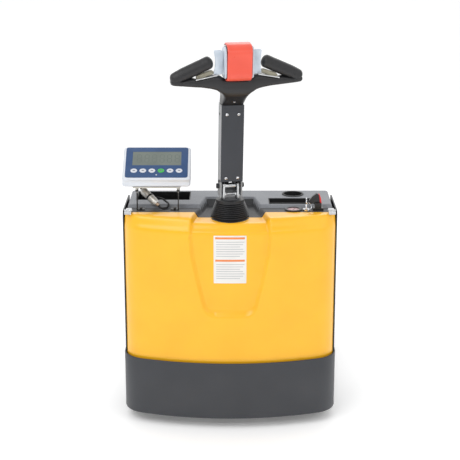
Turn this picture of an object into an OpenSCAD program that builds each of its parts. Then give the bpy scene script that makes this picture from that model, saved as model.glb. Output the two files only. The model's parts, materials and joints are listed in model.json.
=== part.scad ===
// Walk-behind electric pallet truck with a weighing scale.
// X is across the truck, Y runs from the operator to the fork tips, Z is up.
// The ground is z = 0. The origin is below the centre of the box around the truck.

/* [Body] */
// Width of the body over the bumper skirt
body_w = 700; // [660:5:740]
// Depth of the covers, from the front of the skirt to the rear plate
body_d = 370; // [360:2:400]
// Height of the shoulders of the front cover
shoulder_z = 706; // [680:2:740]
// Top edge of the bumper skirt
skirt_top = 228; // [205:1:245]
// Ground clearance of the bumper skirt
skirt_gap = 35; // [25:1:45]
// How far the middle of the front stands proud of its corners
bow = 47; // [20:1:55]
// Width of the notch for the tiller boot
notch_w = 225; // [200:5:240]

/* [Forks] */
// Length of the forks from the carriage face
fork_len = 1220; // [1000:10:1300]
// Width over both forks
forks_w = 685; // [660:5:700]
// Width of one fork over its weigh deck
fork_w = 180; // [176:1:190]
// Height of the lowered forks
fork_h = 88; // [86:0.5:94]
// Lift stroke
lift = 115; // [90:1:118]

/* [Wheels] */
// Drive wheel diameter
drive_d = 210; // [200:1:214]
// Drive wheel width
drive_w = 70; // [60:1:74]
// Load wheel diameter
load_d = 74; // [70:1:75]
// Load wheel width
load_w = 60; // [50:1:64]
// Caster wheel diameter
caster_d = 100; // [90:1:104]

/* [Tiller] */
// Distance of the steering axis from the front of the skirt
axis_y = 135; // [133:1:140]
// Turn of the tiller from straight ahead at rest, degrees
tiller_turn = 12; // [0:1:12]
// Height of the tilt pivot above the shoulders
pivot_rise = 84; // [80:1:94]
// Lean of the tiller towards the operator at rest, degrees
tiller_lean = 4.5; // [3:0.5:6]
// Width of the tiller arm
arm_w = 72; // [68:1:80]
// Depth of the tiller arm
arm_t = 44; // [42:1:48]
// Height of the top of the tiller arm above the pivot
arm_rise = 270; // [250:2:300]
// Distance between the two grip tips
head_w = 412; // [396:2:426]
// Grip thickness
grip_d = 38; // [32:1:40]

/* [Scale display] */
// Width of the display housing
disp_w = 219; // [200:1:230]
// Slope of the display face, degrees above level
disp_tilt = 35; // [25:1:45]
// Distance of the middle of the display from the middle of the truck
disp_side = 237; // [235:0.5:239]

/* [Hidden] */
$fn = 48;
eps = 0.5;
hw = body_w / 2;
car_t = 10;
rail_t = 12;
car_y = body_d + rail_t;
face_y = car_y + car_t;
fork_end = face_y + 28 + fork_len;
overall_l = fork_end;
fork_c = forks_w / 2 - fork_w / 2;
plateau_z = shoulder_z + 10;
notch_z = shoulder_z - 18;
deck_z = 150;
deck_t = 8;
deck_top = deck_z + deck_t;
plate_x = hw - 4.5;
cover_hw = hw - 9;
step_y = 170;
arm_len = 185;
arm_piv_y = fork_end - 370;
arm_piv_z = 48;
arm_a0 = asin((arm_piv_z - load_d / 2) / arm_len);
beam_top = fork_h - 8;
beam_x = fork_w / 2 - 12;
pivot_z = shoulder_z + pivot_rise;
arm_top = pivot_z + arm_rise;
head_z = arm_top + 152;
gear_k = 0.92; // size of the belly button and its paddles
gear_y = -74; // their axis, in front of the arm
key_y = 132;
face_cy = 188.5;
face_cz = shoulder_z + 146;
face_l = 143;
disp_x = -disp_side;
case_low = shoulder_z + 78;
// The furthest point of the head towards the operator, which the box around the truck starts at.
function lean_y(x, y, z) = axis_y + x * sin(tiller_turn)
    + (y * cos(tiller_lean) - (z - pivot_z) * sin(tiller_lean)) * cos(tiller_turn);
front_y = min(0, lean_y(-42 * gear_k, gear_y - 48 * gear_k, head_z - 2 + 35 * gear_k),
    lean_y(-head_w / 2, -88, head_z - 50));

// ---------- helpers ----------

// Everything is drawn from the front of the skirt and moved to the frame here.
module loc() {
    translate([0, -(overall_l + front_y) / 2, 0]) children();
}

// The steered pieces, turned about the steering axis.
module steered() {
    loc() translate([0, axis_y, 0]) rotate([0, 0, tiller_turn]) children();
}

// The tiller, which also leans towards the operator.
module leaning() {
    steered() translate([0, 0, pivot_z]) rotate([tiller_lean, 0, 0]) translate([0, 0, -pivot_z]) children();
}

// The belly button and what turns and stands with it.
module gear() {
    leaning() translate([0, gear_y, head_z - 2]) scale(gear_k) translate([0, 64, 2 - head_z]) children();
}

module box(x0, x1, y0, y1, z0, z1) {
    translate([x0, y0, z0]) cube([x1 - x0, y1 - y0, z1 - z0]);
}

module both() {
    children();
    mirror([1, 0, 0]) children();
}

// Cylinder along X between x0 and x1.
module xcyl(x0, x1, y, z, r, n = 48) {
    translate([x0, y, z]) rotate([0, 90, 0]) cylinder(h = x1 - x0, r = r, $fn = n);
}

module zcyl(x, y, z0, z1, r, n = 48) {
    translate([x, y, z0]) cylinder(h = z1 - z0, r = r, $fn = n);
}

// Profile in the Y-Z plane, extruded along X.
module yz(x0, x1) {
    translate([x0, 0, 0]) rotate([90, 0, 90]) linear_extrude(height = x1 - x0) children();
}

// Profile in the X-Z plane, extruded along Y.
module xz(y0, y1) {
    translate([0, y1, 0]) rotate([90, 0, 0]) linear_extrude(height = y1 - y0) children();
}

// Bowed front with rounded corners, seen from above.
function corner_t(w) = atan(2 * bow / (w - 60));
function corner_r(w) = 60 / (1 - sin(corner_t(w)));
function corner_pt(w, y, a) = [
    w - corner_r(w) + corner_r(w) * cos(a),
    y + bow + corner_r(w) * (cos(corner_t(w)) + sin(a))];
function bow_pt(w, y, x) = [x, y + bow * pow(x / (w - 60), 2)];

module plan(w, y, rear) {
    t = corner_t(w);
    polygon(concat(
        [for (k = [0:6]) let (p = corner_pt(w, y, (t - 90) * k / 6)) [-p[0], p[1]]],
        [for (i = [-9:9]) bow_pt(w, y, (w - 60) * i / 10)],
        [for (k = [6:-1:0]) corner_pt(w, y, (t - 90) * k / 6)],
        [[w, rear], [-w, rear]]));
}

// ---------- body ----------

module chassis_frame() {
    color([0.13, 0.13, 0.14]) loc() {
        difference() {
            union() {
                translate([0, 0, deck_z]) linear_extrude(height = deck_t) plan(hw - 5.5, 5.5, body_d - 12);
                both() side_plate();
                box(-plate_x, plate_x, body_d - 12, body_d - 4, 100, shoulder_z - 26);
            }
            zcyl(0, axis_y, deck_z - 1, deck_top + 1, 128);
            both() zcyl(hw - 100, 190, deck_z - 1, deck_top + 1, 10.05);
            box(-62, 62, body_d - 13, body_d - 3, deck_top + 12, shoulder_z);
        }
        // bridge that carries the drive unit
        difference() {
            box(-200, 200, axis_y - 88, axis_y + 110, 246, 256);
            zcyl(0, axis_y, 245, 257, 80, 96);
        }
        both() box(190, 200, axis_y - 88, axis_y + 110, deck_top, 246);
        // guide rails for the fork carriage
        both() box(150, 170, body_d - 4, body_d + 8, 100, shoulder_z - 46);
        both() box(128, 192, body_d - 4, body_d, 100, shoulder_z - 46);
    }
}

module side_plate() {
    yz(plate_x - 4, plate_x) polygon([
        [136, 120], [body_d - 4, 120], [body_d - 4, shoulder_z - 20], [body_d - 10, shoulder_z - 6],
        [body_d - 20, shoulder_z - 3], [134, shoulder_z + 4], [124, shoulder_z + 2],
        [117, shoulder_z - 5], [115, shoulder_z - 14],
        [115, skirt_top + 2], [136, skirt_top + 2]]);
}

module bumper_skirt() {
    color([0.27, 0.28, 0.3]) loc() difference() {
        translate([0, 0, skirt_gap]) linear_extrude(height = skirt_top - skirt_gap) plan(hw, 0, body_d - 4);
        translate([0, 0, skirt_gap - 1]) linear_extrude(height = skirt_top - skirt_gap + 2)
            plan(hw - 4, 4, body_d + 5);
    }
}

// Side profile of the front cover, drawn inwards by t.
module cover_side(t) {
    polygon(concat(
        [[12 + t, skirt_top - 15 - t]],
        [for (p = [[0, 56], [2, 42], [5, 32], [11, 16.5], [17, 6], [22, 2.8], [45, 0]])
            [12 + t + p[0], shoulder_z - max(t, p[1])]],
        [[114.7 + 2 * t, shoulder_z - t], [114.7 + 2 * t, skirt_top - 15 - t]]));
}

// The panel pressed into the front, narrower at its foot.
module panel_shape(t) {
    polygon([[-notch_w / 2 - t, shoulder_z], [notch_w / 2 + t, shoulder_z],
        [notch_w / 2 - 8 + t, shoulder_z - 116], [78 + t, 428], [70 + t, 408], [56 + t, 398 - t],
        [-56 - t, 398 - t], [-70 - t, 408], [-78 - t, 428], [-notch_w / 2 + 8 - t, shoulder_z - 116]]);
}

module notch_shape(t) {
    n = notch_w / 2;
    polygon([[-n - 22 + t, shoulder_z - t], [-n - 8 + t, shoulder_z - 4 - t], [-n + t, notch_z + 5 - t],
        [-n + 16 + t, notch_z - t], [n - 16 - t, notch_z - t], [n - t, notch_z + 5 - t],
        [n + 8 - t, shoulder_z - 4 - t], [n + 22 - t, shoulder_z - t],
        [n + 22, shoulder_z + 30], [-n - 22, shoulder_z + 30]]);
}

module front_cover() {
    color([0.99, 0.74, 0.14]) loc() difference() {
        intersection() {
            yz(-hw, hw) cover_side(0);
            translate([0, 0, 190]) linear_extrude(height = shoulder_z) plan(cover_hw, 12, 200);
        }
        difference() {
            intersection() {
                yz(-hw, hw) cover_side(5);
                translate([0, 0, 180]) linear_extrude(height = shoulder_z) plan(cover_hw - 4, 16.5, 200);
            }
            xz(0, 27) panel_shape(5);
            xz(0, 130) notch_shape(5);
        }
        xz(-1, 22) panel_shape(0);
        xz(-1, 130) notch_shape(0);
        zcyl(0, axis_y, notch_z - 20, notch_z + 30, 50);
    }
}

// Side profile of the top cover, drawn inwards by t.
module top_side(t) {
    polygon([[115.3, shoulder_z - 22], [115.3, shoulder_z - t], [step_y + t, shoulder_z - t],
        [step_y + 5 + t, plateau_z - t], [body_d - 9 - t, plateau_z - t],
        [body_d - 3 - t, plateau_z - 5 - t], [body_d - 2 - t, shoulder_z - 22]]);
}

module tray_shape(t) {
    n = notch_w / 2;
    polygon([[-n - t, 110], [n + t, 110], [n - 14 + t, step_y - 8], [n - 20 + t, step_y + 30],
        [80 + t, 272 + t], [-80 - t, 272 + t], [-n + 20 - t, step_y + 30], [-n + 14 - t, step_y - 8]]);
}

module top_cover() {
    color([0.5, 0.51, 0.53]) loc() difference() {
        union() {
            difference() {
                yz(-hw + 16, hw - 16) top_side(0);
                difference() {
                    translate([0, 0, -1]) yz(-hw + 20, hw - 20) top_side(4);
                    translate([0, 0, notch_z - 4]) linear_extrude(height = 60) tray_shape(4);
                }
                box(-400, 400, 119.5, body_d - 6, shoulder_z - 30, notch_z - 4);
            }
            both() box(hw - 18, cover_hw + 0.2, 116, body_d - 12, shoulder_z - 8, shoulder_z - 4);
        }
        translate([0, 0, notch_z]) linear_extrude(height = 60) tray_shape(0);
        box(-hw + 40, -132, body_d - 137, body_d - 25, shoulder_z - 20, plateau_z + 1);
        box(127, 296, body_d - 190, body_d - 114, shoulder_z - 20, plateau_z + 1);
        zcyl(211, body_d - 62, shoulder_z - 20, plateau_z + 1, 33.5);
        zcyl(0, axis_y, notch_z - 20, notch_z + 30, 50);
        // grommet for the scale cable
        zcyl(-250, step_y + 32, shoulder_z - 20, plateau_z + 1, 3.5);
    }
}

module open_bin(x0, x1, y0, y1, z0, z1, t) {
    difference() {
        box(x0, x1, y0, y1, z0, z1);
        box(x0 + t, x1 - t, y0 + t, y1 - t, z0 + t, z1 + 1);
    }
}

module cover_liners() {
    color([0.06, 0.06, 0.06]) loc() {
        open_bin(-hw + 40.4, -132.4, body_d - 136.6, body_d - 25.4, plateau_z - 80, plateau_z - 0.5, 2.5);
        open_bin(127.4, 295.6, body_d - 189.6, body_d - 114.4, plateau_z - 66, plateau_z - 0.5, 2.5);
        box(130, 293, body_d - 150, body_d - 145, plateau_z - 64, plateau_z - 8);
        difference() {
            union() {
                zcyl(211, body_d - 62, plateau_z - 62, plateau_z, 33);
                zcyl(211, body_d - 62, plateau_z, plateau_z + 2.5, 36);
            }
            zcyl(211, body_d - 62, plateau_z - 59, plateau_z + 4, 30.5);
        }
    }
}

module battery_gauge() {
    color([0.08, 0.08, 0.09]) loc() {
        difference() {
            zcyl(205, 141, shoulder_z, shoulder_z + 5, 28.5);
            zcyl(205, 141, shoulder_z + 3, shoulder_z + 6, 20);
        }
        }
}

module key_switch() {
    color([0.72, 0.73, 0.75]) loc() difference() {
        zcyl(246, key_y, shoulder_z, shoulder_z + 6, 11.5);
        zcyl(246, key_y, shoulder_z + 1.5, shoulder_z + 7, 5.06);
    }
}

module key() {
    color([0.75, 0.76, 0.78]) loc() {
        zcyl(246, key_y, shoulder_z + 2, shoulder_z + 8, 5);
        box(244.8, 247.2, key_y - 9, key_y + 9, shoulder_z + 8, shoulder_z + 24);
        difference() {
            xcyl(244.4, 247.6, key_y, shoulder_z + 32, 11);
            xcyl(244, 248, key_y, shoulder_z + 32, 8);
        }
    }
}

module disconnect_base() {
    color([0.07, 0.07, 0.08]) loc() difference() {
        union() {
            box(268, 302, 132, 164, shoulder_z, shoulder_z + 8);
            box(275, 295, 135, 141, shoulder_z + 8, shoulder_z + 24);
            box(275, 295, 155, 161, shoulder_z + 8, shoulder_z + 24);
        }
        translate([285, 170, shoulder_z + 16]) rotate([90, 0, 0]) cylinder(h = 40, r = 4.06);
    }
}

module disconnect_handle() {
    color([0.07, 0.07, 0.08]) loc() {
        translate([285, 161, shoulder_z + 16]) rotate([90, 0, 0]) cylinder(h = 26, r = 4);
        translate([0, 0, shoulder_z]) xz(142, 154) polygon([[277, 11], [290, 10.4], [296, 20], [293, 38],
            [288, 50], [279, 54], [266, 44], [256, 32], [252, 22], [258, 18], [270, 22]]);
    }
}

module cover_clamps() {
    color([0.66, 0.67, 0.68]) loc() both() {
        difference() {
            box(hw - 34, hw - 12, 84, 114, shoulder_z, shoulder_z + 6);
            zcyl(hw - 28, 96, shoulder_z + 2, shoulder_z + 7, 2.6);
            zcyl(hw - 18, 96, shoulder_z + 2, shoulder_z + 7, 2.6);
        }
        box(hw - 32, hw - 14, 114, 150, shoulder_z, shoulder_z + 4);
        xcyl(hw - 36, hw - 10, 116, shoulder_z + 5.5, 3.2);
    }
}

module batteries() {
    color([0.16, 0.17, 0.19]) loc() both() {
        box(206, 336, 130, 350, deck_top, 355);
        box(210, 332, 134, 346, 355, 362);
        zcyl(228, 150, 362, 376, 8);
        zcyl(314, 150, 362, 376, 8);
        for (i = [0:2]) zcyl(271, 190 + 50 * i, 362, 366, 11);
    }
}

module motor_controller() {
    color([0.6, 0.61, 0.62]) loc() {
        box(-332, -212, 200, 340, 366, 372);
        box(-326, -218, 206, 334, 372, 410);
        for (i = [0:8]) box(-322 + 12 * i, -319 + 12 * i, 208, 332, 410, 424);
    }
}

module hydraulic_unit() {
    color([0.35, 0.36, 0.38]) loc() {
        box(78, 184, 262, 345, deck_top, 300);
        zcyl(112, 303, 300, 440, 33);
        zcyl(112, 303, 440, 450, 20);
        zcyl(164, 285, 300, 316, 13);
        // pipe to the cylinder
        xcyl(30.3, 78.5, body_d - 52, 190, 5, 24);
    }
}

module lift_cylinder() {
    color([0.14, 0.14, 0.15]) loc() difference() {
        union() {
            zcyl(0, body_d - 52, deck_top, 400, 30);
            zcyl(0, body_d - 52, 392, 406, 34);
        }
        zcyl(0, body_d - 52, deck_top + 14, 407, 18.05);
    }
}

// ---------- scale display ----------

module on_face(v) {
    loc() translate([disp_x, face_cy, face_cz]) rotate([disp_tilt, 0, 0]) translate([0, v, 0.05]) children();
}

function face_pt(v, n) = [
    face_cy + v * cos(disp_tilt) - n * sin(disp_tilt),
    face_cz + v * sin(disp_tilt) + n * cos(disp_tilt)];

module indicator_case() {
    bz = case_low;
    color([0.92, 0.93, 0.94]) {
        loc() yz(disp_x - disp_w / 2, disp_x + disp_w / 2) polygon([
            [face_pt(-face_l / 2, 0)[0] + 4, bz], face_pt(-face_l / 2, -14), face_pt(-face_l / 2, -4),
            face_pt(-face_l / 2 + 4, 0), face_pt(face_l / 2 - 4, 0), face_pt(face_l / 2, -4),
            face_pt(face_l / 2, -20), [face_cy + 27, bz]]);
    }
}

module indicator_panel() {
    color([0.22, 0.33, 0.49]) on_face(0) difference() {
        box(-101, 101, -65, 66, 0, 1.2);
        box(-80.5, 80.5, -14, 48, -1, 2);
        for (i = [0:5]) translate([(i - 2.5) * 29.2, -36, -1]) scale([1, 0.83, 1]) cylinder(h = 4, r = 12.4);
    }
}

module indicator_display() {
    color([0.45, 0.49, 0.47]) on_face(0) box(-80, 80, -13.5, 47.5, 0, 0.9);
}

module face_key(i) {
    on_face(-36) translate([(i - 3.5) * 29.2, 0, 0.9]) scale([1, 0.83, 1]) cylinder(h = 1.4, r = 11.8);
}

module indicator_key_1() { color([0.9, 0.91, 0.93]) face_key(1); }
module indicator_key_2() { color([0.9, 0.91, 0.93]) face_key(2); }
module indicator_key_3() { color([0.9, 0.91, 0.93]) face_key(3); }
module indicator_key_4() { color([0.25, 0.68, 0.35]) face_key(4); }
module indicator_key_5() { color([0.9, 0.91, 0.93]) face_key(5); }
module indicator_key_6() { color([0.9, 0.91, 0.93]) face_key(6); }

module indicator_bracket() {
    bz = case_low;
    color([0.7, 0.68, 0.64]) loc() {
        box(disp_x - 76, disp_x + 78, 135, 190, bz - 4, bz);
        for (x = [disp_x - 63, disp_x + 70]) {
            box(x - 1.5, x + 1.5, 137, 161, shoulder_z + 3, bz - 4);
            zcyl(x, 149, bz - 12, bz - 4, 5, 6);
        }
        foot(disp_x - 64.5, disp_x - 38);
        foot(disp_x + 45, disp_x + 71.5);
    }
}

module foot(x0, x1) {
    box(x0, x1, 137, 161, shoulder_z, shoulder_z + 3);
    zcyl((x0 + x1) / 2, 143, shoulder_z + 3, shoulder_z + 7, 4, 6);
    zcyl((x0 + x1) / 2, 155, shoulder_z + 3, shoulder_z + 7, 4, 6);
}

// The plug in the scale cable lies slanting from under the display to the ledge.
plug_a = [-286, 190, shoulder_z + 56];
plug_b = [-231, 152, shoulder_z + 11.4];
plug_v = plug_b - plug_a;
plug_l = norm(plug_v);

module along_plug() {
    loc() translate(plug_a) rotate([0, acos(plug_v[2] / plug_l), atan2(plug_v[1], plug_v[0])]) children();
}

module cable_connector() {
    color([0.72, 0.72, 0.7]) along_plug() {
        translate([0, 0, -25.5]) cylinder(h = 26, r = 3.4);
        cylinder(h = 6, r1 = 7, r2 = 9);
        translate([0, 0, 6]) cylinder(h = 28, r = 10.5);
        translate([0, 0, 34]) cylinder(h = 4, r = 11);
        translate([0, 0, 38]) cylinder(h = 26, r = 10.5);
        translate([0, 0, 64]) cylinder(h = 8, r1 = 10, r2 = 7);
        translate([0, 0, 72]) cylinder(h = plug_l - 72, r = 4.5);
    }
}

// Scale cable: a swept tube through round-number points.
cable_r = 3.2;
cd = plug_v / plug_l; // the way out of the plug
cable_pts = [plug_b + 0.4 * cd, plug_b + 10 * cd,
    [-216, 150, shoulder_z + 4], [-204, 157, shoulder_z + 5],
    [-200, 169, shoulder_z + 13], [-208, 183, shoulder_z + 17],
    [-222, 193, shoulder_z + 24], [-237, 199, shoulder_z + 26],
    [-247, 202, shoulder_z + 21], [-250, 202, shoulder_z + 12],
    [-250, 202, shoulder_z - 2], [-250, 202, shoulder_z - 14]];
cable_n = len(cable_pts);

function cat(a, b, c, d, t) = 0.5 * (2 * b + (c - a) * t + (2 * a - 5 * b + 4 * c - d) * t * t
    + (3 * b - a - 3 * c + d) * t * t * t);
function pt(i) = cable_pts[max(0, min(cable_n - 1, i))];
cable_path = concat([for (i = [0:cable_n - 2]) for (j = [0:3])
    cat(pt(i - 1), pt(i), pt(i + 1), pt(i + 2), j / 4)], [pt(cable_n - 1)]);
path_n = len(cable_path);
function unit(v) = v / norm(v);
function tang(i) = unit(cable_path[min(path_n - 1, i + 1)] - cable_path[max(0, i - 1)]);
function carry(v, t) = unit(v - t * (v * t));
function frames(i, v) = i >= path_n ? [] : concat([carry(v, tang(i))], frames(i + 1, carry(v, tang(i))));
cable_f = frames(0, [0, 0, 1]);

module load_cell_cable() {
    m = 10;
    ring = [for (i = [0:path_n - 1]) for (k = [0:m - 1])
        let (u = cable_f[i], w = cross(tang(i), u))
        cable_path[i] + cable_r * (u * cos(360 * k / m) + w * sin(360 * k / m))];
    sides = [for (i = [0:path_n - 2]) for (k = [0:m - 1])
        [i * m + k, i * m + (k + 1) % m, (i + 1) * m + (k + 1) % m, (i + 1) * m + k]];
    color([0.05, 0.05, 0.05]) loc() polyhedron(points = ring, faces = concat(sides,
        [[for (k = [m - 1:-1:0]) k]], [[for (k = [0:m - 1]) (path_n - 1) * m + k]]));
}

// ---------- lift and forks ----------

module fork_carriage() {
    color([0.13, 0.13, 0.14]) loc() {
        difference() {
            union() {
                box(-hw + 40, hw - 40, car_y, face_y, 90, 640);
                for (x = [-80, 80]) box(x - 5, x + 5, face_y, face_y + 24, 90, 560);
                for (x = [-240, 240]) box(x - 5, x + 5, face_y, face_y + 24, 200.5, 560);
            }
            box(-60, 60, car_y - 1, face_y + 1, 300, 500);
        }
        // shoes on the guide rails
        both() for (z = [150, 540]) {
            box(170.4, 184, car_y - 11, car_y, z, z + 70);
            box(136, 149.6, car_y - 11, car_y, z, z + 70);
        }
        // crosshead for the ram
        box(-28, 28, body_d - 72, car_y, 520, 545);
        // rocker bearings
        both() difference() {
            union() {
                box(118, 130, face_y, face_y + 52, 90, 130);
                box(118, 130, face_y + 8, face_y + 52, 40, 90);
            }
            xcyl(117, 131, face_y + 30, 62, 12.06);
        }
    }
}

module lift_ram() {
    color([0.8, 0.81, 0.83]) loc() zcyl(0, body_d - 52, 220, 520, 18);
}

// Side beams of one fork, drawn for the right side.
module fork_beam() {
    difference() {
        union() {
            box(fork_c - beam_x, fork_c + beam_x, face_y, fork_end - 110, beam_top - 4, beam_top);
            box(fork_c - beam_x, fork_c - beam_x + 5, face_y, fork_end - 110, 24, beam_top - 4);
            box(fork_c + beam_x - 5, fork_c + beam_x, face_y, fork_end - 110, 24, beam_top - 4);
            box(fork_c - beam_x, fork_c + beam_x, face_y, face_y + 12, beam_top, 200);
            for (y = [face_y + 230, face_y + 560])
                box(fork_c - beam_x + 5, fork_c + beam_x - 5, y, y + 5, 58, beam_top - 4);
        }
        // holes for the feet of the load cells
        for (y = [face_y + 130, fork_end - 480]) zcyl(fork_c, y, beam_top - 5, beam_top + 1, 11);
        // rocker shaft
        xcyl(fork_c - 100, fork_c + 60, face_y + 30, 62, 14);
    }
    xcyl(fork_c - beam_x + 5, fork_c + beam_x - 5, arm_piv_y, arm_piv_z, 8);
}

module fork_left() {
    color([0.14, 0.14, 0.15]) loc() mirror([1, 0, 0]) fork_beam();
}

module fork_right() {
    color([0.14, 0.14, 0.15]) loc() fork_beam();
}

module deck_shape(t) {
    w = fork_w / 2 - t;
    e = fork_end - t;
    polygon([[-w, face_y + 14], [w, face_y + 14], [w, e - 120], [w - 12, e - 60], [w - 30, e - 18],
        [w - 50, e], [-w + 50, e], [-w + 30, e - 18], [-w + 12, e - 60], [-w, e - 120]]);
}

module weigh_deck() {
    translate([fork_c, 0, 0]) {
        translate([0, 0, fork_h - 4]) linear_extrude(height = 4) deck_shape(0);
        difference() {
            translate([0, 0, 46]) linear_extrude(height = fork_h - 50) deck_shape(0);
            translate([0, 0, 45]) linear_extrude(height = fork_h) deck_shape(4);
            box(-fork_w, fork_w, face_y + 10, face_y + 18, 40, fork_h - 4);
            xcyl(-fork_w, fork_w / 2 - 10, face_y + 30, 62, 15);
        }
    }
}

module weigh_deck_left() {
    color([0.9, 0.67, 0.12]) loc() mirror([1, 0, 0]) weigh_deck();
}

module weigh_deck_right() {
    color([0.9, 0.67, 0.12]) loc() weigh_deck();
}

module load_cells() {
    color([0.75, 0.76, 0.77]) loc() both() for (y = [face_y + 130, fork_end - 480]) {
        box(fork_c - 14, fork_c + 14, y - 58, y + 62, beam_top - 24, beam_top - 4);
        zcyl(fork_c, y, beam_top - 4, fork_h - 4, 9);
    }
}

module rocker_shaft() {
    color([0.4, 0.41, 0.42]) loc() {
        xcyl(-fork_c - 30, fork_c + 30, face_y + 30, 62, 12);
        both() for (x = [fork_c - 15, fork_c + 7]) {
            yz(x, x + 8) polygon([[face_y + 18, 62], [face_y + 22, 30], [face_y + 38, 30], [face_y + 42, 62]]);
        }
        box(-5, 5, face_y + 14, face_y + 26, 40, 100);
    }
}

module pull_rods() {
    color([0.42, 0.43, 0.44]) loc() both() {
        box(fork_c - 6.5, fork_c + 6.5, face_y + 24, arm_piv_y - 32, 30, 42);
        box(fork_c - 13, fork_c - 4.5, arm_piv_y - 60, arm_piv_y + 4, 25, 33);
        box(fork_c + 4.5, fork_c + 13, arm_piv_y - 60, arm_piv_y + 4, 25, 33);
    }
}

module wheel_arm() {
    y1 = arm_piv_y + arm_len * cos(arm_a0);
    wz = load_d / 2;
    h = load_w / 2;
    difference() {
        union() {
            for (x = [fork_c - h - 8, fork_c + h + 2]) {
                xcyl(x, x + 6, arm_piv_y, arm_piv_z, 17);
                xcyl(x, x + 6, y1, wz, 15);
                yz(x, x + 6) polygon([[arm_piv_y, arm_piv_z - 15], [y1, wz - 13],
                    [y1, wz + 13], [arm_piv_y, arm_piv_z + 15]]);
            }
            xcyl(fork_c - h - 2, fork_c + h + 2, arm_piv_y, arm_piv_z, 13);
            yz(fork_c - 4, fork_c + 4) polygon([[arm_piv_y - 11, arm_piv_z], [arm_piv_y - 8, arm_piv_z - 24],
                [arm_piv_y + 8, arm_piv_z - 24], [arm_piv_y + 11, arm_piv_z]]);
        }
        xcyl(fork_c - 60, fork_c + 60, arm_piv_y, arm_piv_z, 8.06);
    }
    xcyl(fork_c - h - 12, fork_c + h + 12, y1, wz, 9);
}

module wheel_arm_left() {
    color([0.35, 0.36, 0.37]) loc() mirror([1, 0, 0]) wheel_arm();
}

module wheel_arm_right() {
    color([0.35, 0.36, 0.37]) loc() wheel_arm();
}

module load_wheel() {
    y1 = arm_piv_y + arm_len * cos(arm_a0);
    difference() {
        xcyl(fork_c - load_w / 2, fork_c + load_w / 2, y1, load_d / 2, load_d / 2, 96);
        xcyl(fork_c - load_w, fork_c + load_w, y1, load_d / 2, 9.06);
        for (s = [-1, 1]) xcyl(fork_c + s * load_w / 2 - 3, fork_c + s * load_w / 2 + 3, y1, load_d / 2, 20);
    }
    difference() {
        xcyl(fork_c - load_w / 2, fork_c + load_w / 2, y1, load_d / 2, 14);
        xcyl(fork_c - load_w, fork_c + load_w, y1, load_d / 2, 9.06);
    }
}

module load_wheel_left() {
    color([0.55, 0.3, 0.1]) loc() mirror([1, 0, 0]) load_wheel();
}

module load_wheel_right() {
    color([0.55, 0.3, 0.1]) loc() load_wheel();
}

// ---------- casters ----------

cast_x = hw - 100;
cast_y = 190;
trail = 35;

module caster_fork() {
    zcyl(cast_x, cast_y, deck_z - 34, deck_z - 0.4, 30);
    zcyl(cast_x, cast_y, deck_z - 10, deck_top - 0.3, 10);
    box(cast_x - 29, cast_x + 29, cast_y - 22, cast_y + trail + 14, deck_z - 36, deck_z - 30);
    for (s = [-1, 1]) {
        yz(cast_x + s * 26 - 3, cast_x + s * 26 + 3) polygon([
            [cast_y - 22, deck_z - 30], [cast_y + trail - 14, caster_d / 2 - 10],
            [cast_y + trail + 14, caster_d / 2 - 10], [cast_y + trail + 14, deck_z - 30]]);
    }
    xcyl(cast_x - 32, cast_x + 32, cast_y + trail, caster_d / 2, 8);
}

module caster_fork_left() {
    color([0.62, 0.63, 0.64]) loc() mirror([1, 0, 0]) caster_fork();
}

module caster_fork_right() {
    color([0.62, 0.63, 0.64]) loc() caster_fork();
}

module caster_wheel() {
    difference() {
        xcyl(cast_x - 20, cast_x + 20, cast_y + trail, caster_d / 2, caster_d / 2, 96);
        xcyl(cast_x - 30, cast_x + 30, cast_y + trail, caster_d / 2, 8.06);
        for (s = [-20, 20]) difference() {
            xcyl(cast_x + s - 4, cast_x + s + 4, cast_y + trail, caster_d / 2, 34);
            xcyl(cast_x + s - 5, cast_x + s + 5, cast_y + trail, caster_d / 2, 14);
        }
    }
}

module caster_wheel_left() {
    color([0.3, 0.31, 0.33]) loc() mirror([1, 0, 0]) caster_wheel();
}

module caster_wheel_right() {
    color([0.3, 0.31, 0.33]) loc() caster_wheel();
}

// ---------- drive unit, drawn about the steering axis ----------

wr = drive_d / 2;

module drive_housing() {
    color([0.3, 0.31, 0.33]) steered() {
        difference() {
            union() {
                xcyl(drive_w / 2 + 2, drive_w / 2 + 38, 0, wr, 78);
                box(drive_w / 2 + 2, drive_w / 2 + 38, -42, 42, wr, 236);
                zcyl(0, 0, drive_d + 6, 245.6, 95);
                zcyl(0, 0, 245, 257, 79.92, 96);
                zcyl(0, 0, 256.5, 263, 90);
                for (s = [-1, 1]) box(s * 73 - 6, s * 73 + 6, -22, 22, 262, 500);
                box(-79, 79, -30, 30, 500, 510);
                zcyl(0, 0, 510, pivot_z - 42, 30);
                for (s = [-1, 1]) {
                    box(s * 23 - 3, s * 23 + 3, -16, 16, pivot_z - 43, pivot_z);
                    xcyl(s * 23 - 3, s * 23 + 3, 0, pivot_z, 16);
                }
            }
            xcyl(drive_w / 2 + 1, drive_w / 2 + 18, 0, wr, 12.06);
        }
        xcyl(-arm_w / 2 - 3, arm_w / 2 + 3, 0, pivot_z, 8);
        xcyl(-10, 10, 0, pivot_z, 9);
    }
}

module traction_motor() {
    color([0.12, 0.12, 0.13]) steered() {
        zcyl(0, 0, 263, 420, 62);
        zcyl(0, 0, 420, 430, 56);
        zcyl(0, 0, 430, 470, 44);
        for (k = [0:7]) rotate([0, 0, 22.5 + 45 * k]) box(60, 64.5, -5, 5, 280, 405);
    }
}

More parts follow.
